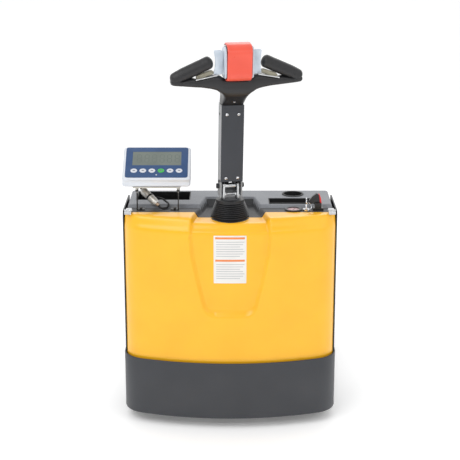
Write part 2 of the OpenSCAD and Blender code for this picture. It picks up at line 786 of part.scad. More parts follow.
module drive_hub() {
    color([0.45, 0.46, 0.47]) steered() {
        difference() {
            xcyl(-drive_w / 2 + 4, drive_w / 2 - 4, 0, wr, wr - 25.2);
            xcyl(-drive_w / 2 + 3, -drive_w / 2 + 20, 0, wr, wr - 38);
        }
        xcyl(-drive_w / 2 + 12, -drive_w / 2 + 24, 0, wr, 24);
        xcyl(0, drive_w / 2 + 17, 0, wr, 12);
        for (k = [0:4]) translate([0, 0, wr]) rotate([72 * k, 0, 0])
            xcyl(-drive_w / 2 + 14, -drive_w / 2 + 26, 0, 44, 5, 6);
    }
}

module drive_tyre() {
    color([0.16, 0.16, 0.17]) steered() difference() {
        xcyl(-drive_w / 2, drive_w / 2, 0, wr, wr, 96);
        xcyl(-drive_w, drive_w, 0, wr, wr - 25);
    }
}

module boot() {
    n = 8;
    z0 = notch_z + 0.8;
    z1 = pivot_z - 52;
    function rad(t) = 62 - 15 * pow(t, 1.3);
    color([0.1, 0.1, 0.11]) steered() rotate_extrude($fn = 64) polygon(concat(
        [[55, z0], [62, z0]],
        [for (i = [0:n - 1]) for (k = [0, 1]) let (t = (i + 0.35 + 0.5 * k) / n)
            [rad(t) - (k == 1 ? 3.5 : 0), z0 + (z1 - z0) * t]],
        [[47, z1], [46, z1 + 1], [46, z1 + 8], [30.4, z1 + 8], [30.4, z1 + 3], [42, z1 - 2]]));
}

// ---------- tiller ----------

module tiller_arm() {
    w = arm_w / 2;
    h = arm_t / 2;
    color([0.55, 0.56, 0.57]) leaning() difference() {
        union() {
            for (s = [-1, 1]) box(s * (w - 2) - 2, s * (w - 2) + 2, -h, h, pivot_z - 33, arm_top);
            box(-w, w, h - 4, h, pivot_z - 33, arm_top);
            box(-w + 4, w - 4, -h + 4, h - 4, arm_top - 8, arm_top);
        }
        xcyl(-w - 5, w + 5, 0, pivot_z, 8.06);
        xcyl(-w - 5, w + 5, 6, arm_top - 34, 4.06);
    }
}

module tiller_cover() {
    w = arm_w / 2;
    h = arm_t / 2;
    color([0.26, 0.27, 0.3]) leaning() {
        box(-w, w, -h - 3, -h, pivot_z + 20, arm_top);
        for (x = [-19, 19]) for (z = [pivot_z + 32, arm_top - 29])
            translate([x, -h - 2.9, z]) rotate([90, 0, 0]) cylinder(h = 1.8, r = 5);
    }
}

module gas_spring_tube() {
    color([0.1, 0.1, 0.11]) leaning() {
        difference() {
            zcyl(0, 6, pivot_z + 64, arm_top - 44, 10.5);
            zcyl(0, 6, pivot_z + 63, arm_top - 54, 4.06);
        }
        zcyl(0, 6, arm_top - 44.5, arm_top - 34, 5);
        xcyl(-6, 6, 6, arm_top - 34, 8);
        xcyl(-arm_w / 2 - 1, arm_w / 2 + 1, 6, arm_top - 34, 4);
    }
}

module gas_spring_rod() {
    color([0.8, 0.81, 0.82]) leaning() {
        zcyl(0, 6, pivot_z + 16, pivot_z + 150, 4);
        box(-5, 5, -3, 11, pivot_z + 10, pivot_z + 24);
        zcyl(0, 6, pivot_z + 24, pivot_z + 34, 7);
    }
}

// Lower shell of the head: a bar across, rising to the tips, on a neck.
module head_casting() {
    t = head_w / 2;
    color([0.1, 0.1, 0.11]) {
        leaning() {
            difference() {
                xz(-88, -54) polygon([
                    [-t, head_z - 70], [-t + 33, head_z - 73], [-t + 66, head_z - 76.5], [-111, head_z - 79],
                    [-80, head_z - 83], [-58, head_z - 90], [-46, head_z - 104], [46, head_z - 104],
                    [58, head_z - 90], [80, head_z - 83], [111, head_z - 79], [t - 66, head_z - 76.5],
                    [t - 33, head_z - 73], [t, head_z - 70],
                    [t, head_z - 50], [t - 14, head_z - 40], [t - 28, head_z - 65], [133, head_z - 57],
                    [76, head_z - 46], [50, head_z - 48], [43, head_z - 60], [-43, head_z - 60],
                    [-50, head_z - 48], [-76, head_z - 46], [-133, head_z - 57], [-t + 28, head_z - 65],
                    [-t + 14, head_z - 40], [-t, head_z - 50]]);
                both() button_place() box(-28.6, 28.6, -8.6, 8.6, -9, 20);
            }
            // neck down to the arm
            yz(-arm_w / 2, arm_w / 2) polygon([[-arm_t / 2, arm_top], [arm_t / 2, arm_top],
                [arm_t / 2, arm_top + 8], [-4, head_z - 80], [-28, head_z - 60], [-88, head_z - 60],
                [-88, head_z - 92], [-58, head_z - 110]]);
        }
        // core behind the button
        gear() difference() {
            union() {
                yz(-39.5, 39.5) translate([0, head_z]) polygon([[-97, -34], [-76, -57.2], [-34, -57.2],
                    [-34, 56.2], [-76, 56.2], [-97, 34]]);
                box(-39.5, 39.5, -36.5, -28, head_z - 72, head_z + 59);
            }
            xcyl(-41, 41, -64, head_z - 2, 6.06);
        }
    }
}

module button_place() {
    translate([104, -71, head_z - 50.5]) rotate([0, 11, 0]) children();
}

module lift_button() {
    color([0.55, 0.53, 0.45]) leaning() mirror([1, 0, 0]) button_place() box(-28, 28, -8, 8, -5.5, 10);
}

module lower_button() {
    color([0.55, 0.53, 0.45]) leaning() button_place() box(-28, 28, -8, 8, -5.5, 10);
}

module head_flanges() {
    color([0.88, 0.9, 0.92]) gear() both() difference() {
        yz(40, 51) polygon([
            [-100, head_z - 49.5], [-38, head_z - 49.5], [-30, head_z - 40], [-30, head_z + 44], [-40, head_z + 54],
            [-94, head_z + 54], [-104, head_z + 44], [-106, head_z - 40]]);
        yz(39.5, 43.2) difference() {
            polygon([[-140, head_z - 80], [0, head_z - 80], [0, head_z + 80], [-140, head_z + 80]]);
            polygon([[-90, head_z - 45], [-46, head_z - 45], [-46, head_z + 45], [-90, head_z + 45]]);
        }
        xcyl(39, 52, -64, head_z - 2, 6.06);
    }
}

module grips() {
    t = head_w / 2;
    r = grip_d / 2;
    color([0.08, 0.08, 0.09]) leaning() both() hull() {
        translate([t - 17, -71, head_z - 47]) sphere(r = r * 0.86, $fn = 32);
        translate([t - 36, -71, head_z - 37]) sphere(r = r * 0.93, $fn = 32);
        translate([94, -71, head_z - 3]) sphere(r = r * 0.93, $fn = 32);
    }
}

module band_side(t) {
    r = 28 - t;
    polygon(concat(
        [for (a = [180:15:270]) [-112 + 28 + r * cos(a), head_z - 62 + 28 + r * sin(a)]],
        [[-36, head_z - 62 + t], [-36, head_z + 61 - t]],
        [for (a = [90:15:180]) [-112 + 28 + r * cos(a), head_z + 61 - 28 + r * sin(a)]]));
}

module belly_button() {
    color([0.94, 0.37, 0.31]) gear() difference() {
        yz(-42, 42) band_side(0);
        translate([0, 1, 0]) yz(-43, 43) band_side(4.3);
        box(-50, 50, -46, -20, head_z - 100, head_z + 100);
    }
}

module throttle_paddles() {
    color([0.9, 0.91, 0.93]) gear() {
        xcyl(-58, 58, -64, head_z - 2, 6);
        both() {
            xcyl(52, 60, -64, head_z - 2, 10);
            translate([0, -64, head_z - 2]) xz(-5, 3) polygon([[52, -14], [55, -36], [62, -40], [74, -39],
                [80, -32], [76, -12], [76, 12], [80, 32], [74, 39], [62, 40], [55, 36], [52, 14]]);
        }
    }
}

// ---------- drawing ----------
chassis_frame();
bumper_skirt();
front_cover();
top_cover();
cover_liners();
battery_gauge();
key_switch();
disconnect_base();
cover_clamps();
batteries();
hydraulic_unit();
lift_cylinder();
motor_controller();
indicator_bracket();
indicator_case();
indicator_panel();
indicator_display();
cable_connector();
load_cell_cable();
key();
disconnect_handle();
indicator_key_1();
indicator_key_2();
indicator_key_3();
indicator_key_4();
indicator_key_5();
indicator_key_6();
fork_carriage();
fork_left();
fork_right();
weigh_deck_left();
weigh_deck_right();
load_cells();
lift_ram();
rocker_shaft();
pull_rods();
wheel_arm_left();
wheel_arm_right();
load_wheel_left();
load_wheel_right();
caster_fork_left();
caster_fork_right();
caster_wheel_left();
caster_wheel_right();
drive_housing();
traction_motor();
drive_hub();
drive_tyre();
boot();
tiller_arm();
tiller_cover();
gas_spring_tube();
gas_spring_rod();
head_casting();
head_flanges();
grips();
belly_button();
throttle_paddles();
lift_button();
lower_button();
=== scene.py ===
"""Looks of a walk-behind electric pallet truck with scale forks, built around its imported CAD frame."""

import json
import math

import bmesh
import bpy
from mathutils import Matrix, Vector


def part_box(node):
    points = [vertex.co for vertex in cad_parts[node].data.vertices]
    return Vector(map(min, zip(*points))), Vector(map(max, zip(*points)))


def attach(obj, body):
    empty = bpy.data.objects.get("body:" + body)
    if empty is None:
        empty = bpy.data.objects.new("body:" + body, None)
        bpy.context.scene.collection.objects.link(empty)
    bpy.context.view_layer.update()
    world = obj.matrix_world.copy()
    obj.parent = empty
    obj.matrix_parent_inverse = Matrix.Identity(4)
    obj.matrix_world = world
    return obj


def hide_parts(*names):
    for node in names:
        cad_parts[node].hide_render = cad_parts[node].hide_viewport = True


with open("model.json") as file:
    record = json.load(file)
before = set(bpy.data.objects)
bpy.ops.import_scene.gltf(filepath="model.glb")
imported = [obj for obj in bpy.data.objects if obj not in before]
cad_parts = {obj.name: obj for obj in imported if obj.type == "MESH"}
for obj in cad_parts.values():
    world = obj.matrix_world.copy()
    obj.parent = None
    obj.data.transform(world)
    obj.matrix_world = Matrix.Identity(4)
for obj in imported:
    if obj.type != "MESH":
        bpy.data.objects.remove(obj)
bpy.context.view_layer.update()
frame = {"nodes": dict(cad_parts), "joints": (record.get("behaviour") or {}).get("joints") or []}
joints = {j["name"]: j for j in frame["joints"]}

# The shapes are in millimetres, from the middle of the truck (x), the front of the bumper skirt (y) and the floor (z).
# FRONT, the bump depths, the camera, the lights and the floor are in metres, as the frame is.

# ---------- places taken from the frame ----------

MM = 0.001
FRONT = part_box("bumper_skirt")[0].y
AXIS_Y = (joints["steer"]["pos_m"][1] - FRONT) / MM
TURN = math.atan2(joints["tilt"]["axis"][1], joints["tilt"]["axis"][0])
PIVOT = joints["tilt"]["pos_m"][2] / MM
LEAN = math.asin(joints["belly_press"]["axis"][2])
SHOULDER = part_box("battery_gauge")[0].z / MM
PLATEAU = SHOULDER + 10
NOTCH_DEEP = 18
NOTCH = SHOULDER - NOTCH_DEEP
HALF_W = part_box("bumper_skirt")[1].x / MM
SKIRT_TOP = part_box("bumper_skirt")[1].z / MM
SKIRT_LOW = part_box("bumper_skirt")[0].z / MM
BODY_D = (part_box("bumper_skirt")[1].y - FRONT) / MM + 4
BOW = 47            # how far the front's middle stands forward of its corners
CORNER = 60         # width of the rounded front corners
NOTCH_HALF = 112.5  # half the width of the notch round the boot
COVER_FRONT = 12    # the front cover stands this far behind the skirt
BOOT_HOLE = 50      # radius of the hole under the boot
TIP = 206           # half the width of the tiller head
SIDES = ((-1, "left"), (1, "right"))
HEAD_Y = -71        # the grips, buttons and bar stand this far in front of the tiller's axis

# LOC places the truck's own pieces, STEER the drive unit's, TILLER those of the leaning arm, and GEAR the flanges,
# paddles and red band, drawn slightly smaller.
LOC = Matrix.Translation((0, FRONT, 0)) @ Matrix.Scale(MM, 4)
STEER = Matrix.Translation((0, FRONT + AXIS_Y * MM, 0)) @ Matrix.Rotation(TURN, 4, "Z") @ Matrix.Scale(MM, 4)
TILLER = (STEER @ Matrix.Translation((0, 0, PIVOT)) @ Matrix.Rotation(LEAN, 4, "X")
          @ Matrix.Translation((0, 0, -PIVOT)))
THROTTLE = TILLER.inverted() @ Vector(joints["throttle_turn"]["pos_m"])
HEAD = THROTTLE.z + 2
ARM_TOP = HEAD - 152
GEAR = TILLER @ Matrix.Translation(THROTTLE) @ Matrix.Scale(0.92, 4) @ Matrix.Translation((0, 64, 2 - HEAD))


def smooth(t):
    """A soft step from 0 to 1."""
    t = min(1.0, max(0.0, t))
    return t * t * (3 - 2 * t)


def ramp(t, soft=0.18):
    """A straight slope from 0 to 1 with rounded ends."""
    t = min(1.0, max(0.0, t))
    if t < soft:
        return t * t / (2 * soft * (1 - soft))
    if t > 1 - soft:
        return 1 - (1 - t) ** 2 / (2 * soft * (1 - soft))
    return (t - soft / 2) / (1 - soft)


def mix(a, b, t):
    return a + (b - a) * t


def along(table, x):
    """The value of a table of (place, value) rows at x."""
    for (x0, v0), (x1, v1) in zip(table, table[1:]):
        if x <= x1:
            return mix(v0, v1, (x - x0) / (x1 - x0))
    return table[-1][1]


def spread(a, b, step):
    """Even places from a to b, about step apart."""
    n = max(1, round(abs(b - a) / step))
    return [a + (b - a) * i / n for i in range(n + 1)]


# ---------- materials ----------


def link(tree, a, b):
    tree.links.new(a, b)


def principled(mat):
    return mat.node_tree.nodes["Principled BSDF"]


def map_range(tree, value, source, target=(0, 1)):
    """A value's source span mapped onto the target span."""
    n = tree.nodes.new("ShaderNodeMapRange")
    for key, number in zip(("From Min", "From Max", "To Min", "To Max"), (*source, *target)):
        n.inputs[key].default_value = number
    link(tree, value, n.inputs["Value"])
    return n.outputs["Result"]


def material(name, light, dark, rough, metal=0.0, patch=9.0, grain=800.0, bump=0.15, depth=0.0003,
             rough_vary=0.06, coat=0.0, stretch=(1, 1, 1), speck=0.0, specular=0.5):
    """Two colours mixed in soft patches, an uneven roughness and a fine grain in the surface."""
    m = bpy.data.materials.new(name)
    m.use_nodes = True
    t = m.node_tree
    shader = principled(m)
    shader.inputs["Metallic"].default_value = metal
    shader.inputs["Coat Weight"].default_value = coat
    shader.inputs["Coat Roughness"].default_value = 0.2
    shader.inputs["Specular IOR Level"].default_value = specular
    where = t.nodes.new("ShaderNodeTexCoord")
    turn = t.nodes.new("ShaderNodeMapping")
    turn.inputs["Scale"].default_value = stretch
    link(t, where.outputs["Object"], turn.inputs["Vector"])

    def noise(scale, detail=3.0):
        n = t.nodes.new("ShaderNodeTexNoise")
        n.inputs["Scale"].default_value = scale
        n.inputs["Detail"].default_value = detail
        link(t, turn.outputs["Vector"], n.inputs["Vector"])
        return n.outputs["Fac"]

    def tones(factor, first, second, start, stop):
        n = t.nodes.new("ShaderNodeValToRGB")
        low, high = n.color_ramp.elements
        low.position, high.position = start, stop
        low.color, high.color = (*first, 1), (*second, 1)
        link(t, factor, n.inputs["Fac"])
        return n.outputs["Color"]

    colour = tones(noise(patch), dark, light, 0.3, 0.7)
    if speck:
        spots = tones(noise(grain * 0.6, 1.0), (0, 0, 0), (speck, speck, speck), 0.60, 0.72)
        add = t.nodes.new("ShaderNodeMix")
        add.data_type = "RGBA"
        add.inputs["B"].default_value = (*[min(1, c * 1.6 + 0.02) for c in light], 1)
        link(t, spots, add.inputs["Factor"])
        link(t, colour, add.inputs["A"])
        colour = add.outputs["Result"]
    link(t, colour, shader.inputs["Base Color"])
    span = (max(0.02, rough - rough_vary), min(1, rough + rough_vary))
    link(t, map_range(t, noise(patch * 4), (0, 1), span), shader.inputs["Roughness"])
    relief = t.nodes.new("ShaderNodeBump")
    relief.inputs["Strength"].default_value = bump
    relief.inputs["Distance"].default_value = depth
    link(t, noise(grain, 2.0), relief.inputs["Height"])
    link(t, relief.outputs["Normal"], shader.inputs["Normal"])
    return m


YELLOW = material("cover_yellow", (0.97, 0.50, 0.016), (0.93, 0.465, 0.013), 0.34, grain=420, bump=0.22, depth=0.0006,
                  coat=0.5, specular=0.3)
GREY = material("cover_grey", (0.235, 0.245, 0.265), (0.195, 0.205, 0.225), 0.52, grain=520, bump=0.65,
                depth=0.0010, speck=0.35)
LEDGE = material("ledge_grey", (0.044, 0.045, 0.048), (0.034, 0.035, 0.038), 0.50, grain=520, bump=0.5, depth=0.0008,
                 speck=0.12)
SKIRT = material("skirt_grey", (0.040, 0.043, 0.050), (0.033, 0.036, 0.043), 0.46, grain=700, bump=0.35, depth=0.0004)
FRAME = material("frame_black", (0.024, 0.024, 0.027), (0.016, 0.016, 0.018), 0.42, grain=700, bump=0.3)
DECK = material("fork_paint", (0.050, 0.052, 0.058), (0.036, 0.037, 0.042), 0.44, patch=14, grain=600, bump=0.35)
LINER = material("liner_black", (0.010, 0.010, 0.011), (0.006, 0.006, 0.006), 0.55, grain=900, bump=0.3)
TRIM = material("trim_black", (0.014, 0.014, 0.016), (0.009, 0.009, 0.010), 0.34, grain=1200, bump=0.15)
ZINC = material("zinc", (0.66, 0.67, 0.68), (0.48, 0.49, 0.50), 0.30, metal=1.0, patch=60, grain=1500, bump=0.12)
NICKEL = material("nickel", (0.80, 0.80, 0.82), (0.66, 0.67, 0.69), 0.16, metal=1.0, patch=50, grain=1600, bump=0.05)
STEEL = material("bracket_steel", (0.60, 0.57, 0.51), (0.47, 0.45, 0.41), 0.34, metal=1.0, patch=20, grain=260,
                 bump=0.20, stretch=(1, 12, 12))
BATTERY = material("battery_case", (0.020, 0.021, 0.024), (0.014, 0.015, 0.017), 0.5, grain=700, bump=0.4)
HYDRAULIC = material("hydraulic_grey", (0.16, 0.17, 0.18), (0.11, 0.115, 0.12), 0.4, grain=500, bump=0.3)
FINS = material("fins", (0.52, 0.53, 0.55), (0.40, 0.41, 0.43), 0.40, metal=1.0, patch=40, grain=900, bump=0.2)
WHITE = material("case_white", (0.70, 0.73, 0.78), (0.65, 0.68, 0.73), 0.34, grain=900, bump=0.10, depth=0.0002)
BLUE = material("panel_blue", (0.025, 0.072, 0.190), (0.021, 0.063, 0.168), 0.36, patch=30, grain=1800, bump=0.10)
LCD = material("lcd_window", (0.165, 0.190, 0.168), (0.132, 0.156, 0.140), 0.20, patch=14, grain=1500, bump=0.02)
SEGMENT = material("lcd_segments", (0.135, 0.160, 0.145), (0.125, 0.148, 0.135), 0.24, patch=40, grain=1500,
                   bump=0.02)
KEY_WHITE = material("key_white", (0.66, 0.68, 0.72), (0.58, 0.60, 0.65), 0.38, patch=70, grain=1500, bump=0.08)
KEY_GREEN = material("key_green", (0.055, 0.46, 0.085), (0.045, 0.38, 0.070), 0.38, patch=70, grain=1500, bump=0.08)
MARK = material("key_mark", (0.17, 0.18, 0.22), (0.13, 0.14, 0.18), 0.5, patch=90, grain=1500, bump=0.05)
ALLOY = material("connector_alloy", (0.74, 0.73, 0.70), (0.60, 0.59, 0.56), 0.36, metal=0.6, patch=70, grain=1200,
                 bump=0.15)
COPPER = material("gland_nut", (0.50, 0.38, 0.28), (0.38, 0.28, 0.20), 0.36, metal=0.9, patch=80, grain=900)
CABLE = material("cable_black", (0.016, 0.016, 0.017), (0.010, 0.010, 0.011), 0.5, patch=40, grain=900, bump=0.2)
LINK = material("link_steel", (0.22, 0.22, 0.23), (0.13, 0.13, 0.135), 0.42, metal=0.8, patch=30, grain=600,
                bump=0.25)
CHROME = material("rod_chrome", (0.82, 0.83, 0.85), (0.74, 0.75, 0.77), 0.10, metal=1.0, patch=30, grain=1800,
                  bump=0.03)
LOAD = material("load_tread", (0.42, 0.15, 0.035), (0.34, 0.115, 0.028), 0.44, patch=40, grain=900, bump=0.2)
CASTER = material("caster_tread", (0.055, 0.056, 0.060), (0.040, 0.041, 0.044), 0.5, patch=40, grain=800, bump=0.25)
CAST = material("drive_cast", (0.085, 0.088, 0.095), (0.055, 0.057, 0.062), 0.55, patch=25, grain=380, bump=0.6,
                depth=0.0008)
MOTOR = material("motor_black", (0.020, 0.020, 0.022), (0.013, 0.013, 0.014), 0.38, grain=800, bump=0.2)
IRON = material("hub_iron", (0.24, 0.24, 0.25), (0.16, 0.16, 0.165), 0.45, metal=0.7, patch=25, grain=420, bump=0.45)
TREAD = material("drive_tread", (0.034, 0.034, 0.037), (0.022, 0.022, 0.024), 0.62, patch=30, grain=600, bump=0.4)
BOOT = material("boot_rubber", (0.012, 0.012, 0.014), (0.008, 0.008, 0.009), 0.40, patch=30, grain=900, bump=0.2)
ARM = material("arm_grey", (0.30, 0.31, 0.32), (0.25, 0.26, 0.27), 0.40, patch=14, grain=800, bump=0.25)
ARM_BLACK = material("arm_black", (0.030, 0.033, 0.042), (0.024, 0.027, 0.034), 0.40, grain=800, bump=0.30,
                     depth=0.0004)
HEAD_BLACK = material("head_black", (0.013, 0.013, 0.015), (0.009, 0.009, 0.010), 0.36, grain=900, bump=0.25)
PEARL = material("flange_white", (0.60, 0.66, 0.73), (0.50, 0.56, 0.63), 0.34, metal=0.15, patch=40, grain=1200,
                 bump=0.10)
GRIP = material("grip_rubber", (0.012, 0.012, 0.014), (0.008, 0.008, 0.009), 0.42, patch=50, grain=1100, bump=0.5,
                depth=0.0004)
RED = material("belly_red", (0.80, 0.100, 0.060), (0.75, 0.088, 0.052), 0.30, patch=12, grain=900, bump=0.14)
RED_STRIP = material("strip_red", (0.72, 0.020, 0.020), (0.62, 0.014, 0.014), 0.4, patch=50, grain=900)
BEIGE = material("button_beige", (0.34, 0.32, 0.24), (0.27, 0.25, 0.19), 0.45, patch=60, grain=900, bump=0.2)
CARD = material("card_white", (0.80, 0.79, 0.77), (0.76, 0.75, 0.73), 0.40, patch=20, grain=1200, bump=0.05)
ORANGE = material("card_orange", (0.84, 0.26, 0.075), (0.78, 0.23, 0.065), 0.42, patch=40, grain=1200, bump=0.05)
RULE = material("card_lines", (0.50, 0.50, 0.51), (0.44, 0.44, 0.45), 0.5, patch=60, grain=1200, bump=0.05)
DIAL = material("gauge_dial", (0.52, 0.32, 0.33), (0.44, 0.27, 0.28), 0.25, patch=60, grain=1200, bump=0.03)
FLOOR = material("floor", (0.98, 0.98, 0.98), (0.965, 0.965, 0.965), 0.8, patch=1.5, grain=60, bump=0.02)
principled(FLOOR).inputs["Emission Color"].default_value = (1, 1, 1, 1)
principled(FLOOR).inputs["Emission Strength"].default_value = 0.16


def paint_below(mat, low, high, paint):
    """Paints a material up to a height: all paint under low, none over high."""
    tree = mat.node_tree
    base_colour = principled(mat).inputs["Base Color"]
    bare = base_colour.links[0].from_socket
    where = tree.nodes.new("ShaderNodeTexCoord")
    axes = tree.nodes.new("ShaderNodeSeparateXYZ")
    coats = tree.nodes.new("ShaderNodeMix")
    coats.data_type = "RGBA"
    coats.inputs["A"].default_value = (*paint, 1)
    link(tree, where.outputs["Object"], axes.inputs["Vector"])
    link(tree, map_range(tree, axes.outputs["Z"], (low * MM, high * MM)), coats.inputs["Factor"])
    link(tree, bare, coats.inputs["B"])
    link(tree, coats.outputs["Result"], base_colour)


paint_below(STEEL, SHOULDER + 58, SHOULDER + 62, (0.045, 0.043, 0.042))  # the display bracket's dark legs


# ---------- meshes ----------


def add_object(name, data):
    obj = bpy.data.objects.new(name, data)
    bpy.context.scene.collection.objects.link(obj)
    return obj


def piece(name, verts, faces, mat, body, slot=None, replaces=(), place=LOC, flat=False, angle=40):
    """One visible piece: edges sharper than angle stay sharp, and all of them when it is flat."""
    mesh = bpy.data.meshes.new(name)
    mesh.from_pydata([tuple(v) for v in verts], [], faces)
    mesh.transform(place)
    b = bmesh.new()
    b.from_mesh(mesh)
    bmesh.ops.remove_doubles(b, verts=b.verts, dist=1e-6)
    bmesh.ops.recalc_face_normals(b, faces=b.faces)
    b.to_mesh(mesh)
    b.free()
    obj = add_object(name, mesh)
    mesh.materials.append(mat)
    if not flat:
        mesh.shade_smooth()
        mesh.set_sharp_from_angle(angle=math.radians(angle))
    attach(obj, body)
    if replaces:
        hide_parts(*replaces)
    return obj


def soften(obj, width, segments=2):
    """Rounds the edges of a CAD node."""
    m = obj.modifiers.new("edge", "BEVEL")
    m.width = width * MM
    m.segments = segments
    m.limit_method = "ANGLE"
    m.angle_limit = math.radians(35)
    m.harden_normals = False


def thicken(obj, depth):
    """Gives a sheet its wall, inwards."""
    wall = obj.modifiers.new("wall", "SOLIDIFY")
    wall.thickness = depth * MM
    wall.offset = -1
    wall.use_even_offset = False


def loft(rings, closed=False):
    """Faces between rings of equal length, with capped ends unless the loft closes on itself."""
    n = len(rings[0])
    verts = [p for ring in rings for p in ring]
    faces = []
    for i in range(len(rings) - (0 if closed else 1)):
        a, b = i * n, ((i + 1) % len(rings)) * n
        faces += [(a + k, a + (k + 1) % n, b + (k + 1) % n, b + k) for k in range(n)]
    if not closed:
        faces += [tuple(range(n - 1, -1, -1)), tuple(range((len(rings) - 1) * n, len(rings) * n))]
    return verts, faces


def lathe(profile, n=64, centre=(0, 0, 0)):
    """A closed outline of (radius, height) turned about Z."""
    rings = []
    for i in range(n):
        a = 2 * math.pi * i / n
        rings.append([(centre[0] + r * math.cos(a), centre[1] + r * math.sin(a), centre[2] + h) for r, h in profile])
    return loft(rings, closed=True)


def rounded(points, radius, steps=5):
    """A polygon with each corner rounded."""
    out = []
    n = len(points)
    for i in range(n):
        p, a, b = Vector(points[i]), Vector(points[i - 1]), Vector(points[(i + 1) % n])
        r = radius[i] if hasattr(radius, "__len__") else radius
        da, db = a - p, b - p
        r = min(r, da.length * 0.49, db.length * 0.49)
        p0, p1 = p + da.normalized() * r, p + db.normalized() * r
        for k in range(steps + 1):
            t = k / steps
            out.append(p0 * (1 - t) ** 2 + p * 2 * t * (1 - t) + p1 * t * t)
    return [tuple(v) for v in out]


def shrink(outline, d):
    """Moves a closed 2-D outline inwards by d."""
    n = len(outline)
    area = sum(outline[i - 1][0] * outline[i][1] - outline[i][0] * outline[i - 1][1] for i in range(n))
    sign = 1 if area > 0 else -1
    out = []
    for i in range(n):
        a, b = Vector(outline[i - 1]), Vector(outline[(i + 1) % n])
        t = b - a
        if t.length < 1e-9:
            t = Vector((1, 0))
        t.normalize()
        out.append((outline[i][0] - sign * t.y * d, outline[i][1] + sign * t.x * d))
    return out


def slab(outline, low, high, edge, put):
    """A plate with rounded rims: the outline is extruded from low to high, and put() places (u, v, w)."""
    cuts = [(low, edge), (low + edge * 0.3, edge * 0.3), (low + edge, 0), (high - edge, 0),
            (high - edge * 0.3, edge * 0.3), (high, edge)]
    return loft([[put(u, v, w) for u, v in shrink(outline, d)] for w, d in cuts])


def catmull(points, steps):
    """A smooth line through the points, with so many steps between each two."""
    pts = [Vector(p) for p in points]
    out = []
    for i in range(len(pts) - 1):
        a, b, c, d = pts[max(0, i - 1)], pts[i], pts[i + 1], pts[min(len(pts) - 1, i + 2)]
        for k in range(steps):
            t = k / steps
            out.append(0.5 * (2 * b + (c - a) * t + (2 * a - 5 * b + 4 * c - d) * t * t
                              + (3 * b - a - 3 * c + d) * t ** 3))
    return out + [pts[-1]]


def tube(points, radius, n=16):
    """Rings along a line; radius is a number or a list."""
    pts = [Vector(p) for p in points]
    up = Vector((0, 0, 1))
    rings = []
    for i, p in enumerate(pts):
        t = (pts[min(len(pts) - 1, i + 1)] - pts[max(0, i - 1)]).normalized()
        up = up - t * up.dot(t)
        up = up.normalized() if up.length > 1e-6 else t.orthogonal().normalized()
        side = t.cross(up)
        r = radius[i] if hasattr(radius, "__len__") else radius
        rings.append([p + r * (up * math.cos(2 * math.pi * k / n) + side * math.sin(2 * math.pi * k / n))
                      for k in range(n)])
    return loft(rings)


def as_is(u, v, w):
    return (u, v, w)


def along_x(u, v, w):
    """A slab's outline stands in the y-z plane and its thickness runs along x."""
    return (w, u, v)


def along_y(u, v, w):
    """A slab's outline stands in the x-z plane and its thickness runs along y."""
    return (u, w, v)


def join(*parts):
    """Several (verts, faces) pairs as one."""
    verts, faces = [], []
    for v, f in parts:
        base = len(verts)
        verts += list(v)
        faces += [tuple(i + base for i in face) for face in f]
    return verts, faces


def moved(part, matrix):
    return [tuple(matrix @ Vector(v)) for v in part[0]], part[1]


# ---------- camera and cable first ----------

ELEVATION, DISTANCE = math.radians(16), 4.03
TARGET = Vector((0, FRONT + 0.150, 0.636))
camera_data = bpy.data.cameras.new("camera")
camera = add_object("camera", camera_data)
camera.location = TARGET + DISTANCE * Vector((0, -math.cos(ELEVATION), math.sin(ELEVATION)))
camera.rotation_euler = (math.radians(90) - ELEVATION, 0, 0)
camera_data.lens = 96.8
camera_data.sensor_width = 36
camera_data.clip_end = 200
bpy.context.scene.camera = camera

PLUG_A = Vector((-286, 190, SHOULDER + 56))
PLUG_B = Vector((-231, 152, SHOULDER + 11.4))
PLUG_DIR = (PLUG_B - PLUG_A).normalized()
CABLE_R = 3.2
cable_route = [PLUG_B + 0.4 * PLUG_DIR, PLUG_B + 10 * PLUG_DIR] + [
    Vector((x, y, SHOULDER + z)) for x, y, z in (
        (-216, 150, 4), (-204, 157, 5), (-200, 169, 13), (-208, 183, 17), (-222, 193, 24), (-237, 199, 26),
        (-247, 202, 21), (-250, 202, 12), (-250, 202, -2), (-250, 202, -14))]
cable_line = [LOC @ p for p in catmull(cable_route, 4)]
cable_verts, cable_faces = tube([Vector(p) / MM for p in cable_line], CABLE_R, 20)
cable = piece("load_cell_cable_jacket", cable_verts, cable_faces, CABLE, "chassis", "cable_black",
              ["load_cell_cable"], place=Matrix.Scale(MM, 4))


# ---------- bumper skirt and front cover ----------


def outline(half, front, rear, step=5.0):
    """The bowed front with its rounded corners, from the left rear round to the right rear."""
    end = half - CORNER
    lean = math.atan(2 * BOW / end)
    r = CORNER / (1 - math.sin(lean))
    bow = [(x, front + BOW * (x / end) ** 2) for x in spread(-end, end, step)]
    stop = 1.0  # the part of the corner's turn that fits before the rear edge
    if front + BOW + r * math.cos(lean) > rear:
        start = math.pi / 2 - lean
        stop = 1 - math.asin(math.cos(lean) - (rear - front - BOW) / r) / start
    corner = []
    for k in range(1, 13):
        a = (lean - math.pi / 2) * (1 - stop * k / 12)
        corner.append((half - r + r * math.cos(a), front + BOW + r * (math.cos(lean) + math.sin(a))))
    sides = [(half, y) for y in spread(corner[-1][1], rear, 20)[1:]] if stop == 1 else []
    right = corner + sides
    return [(-x, y) for x, y in reversed(right)] + bow + right


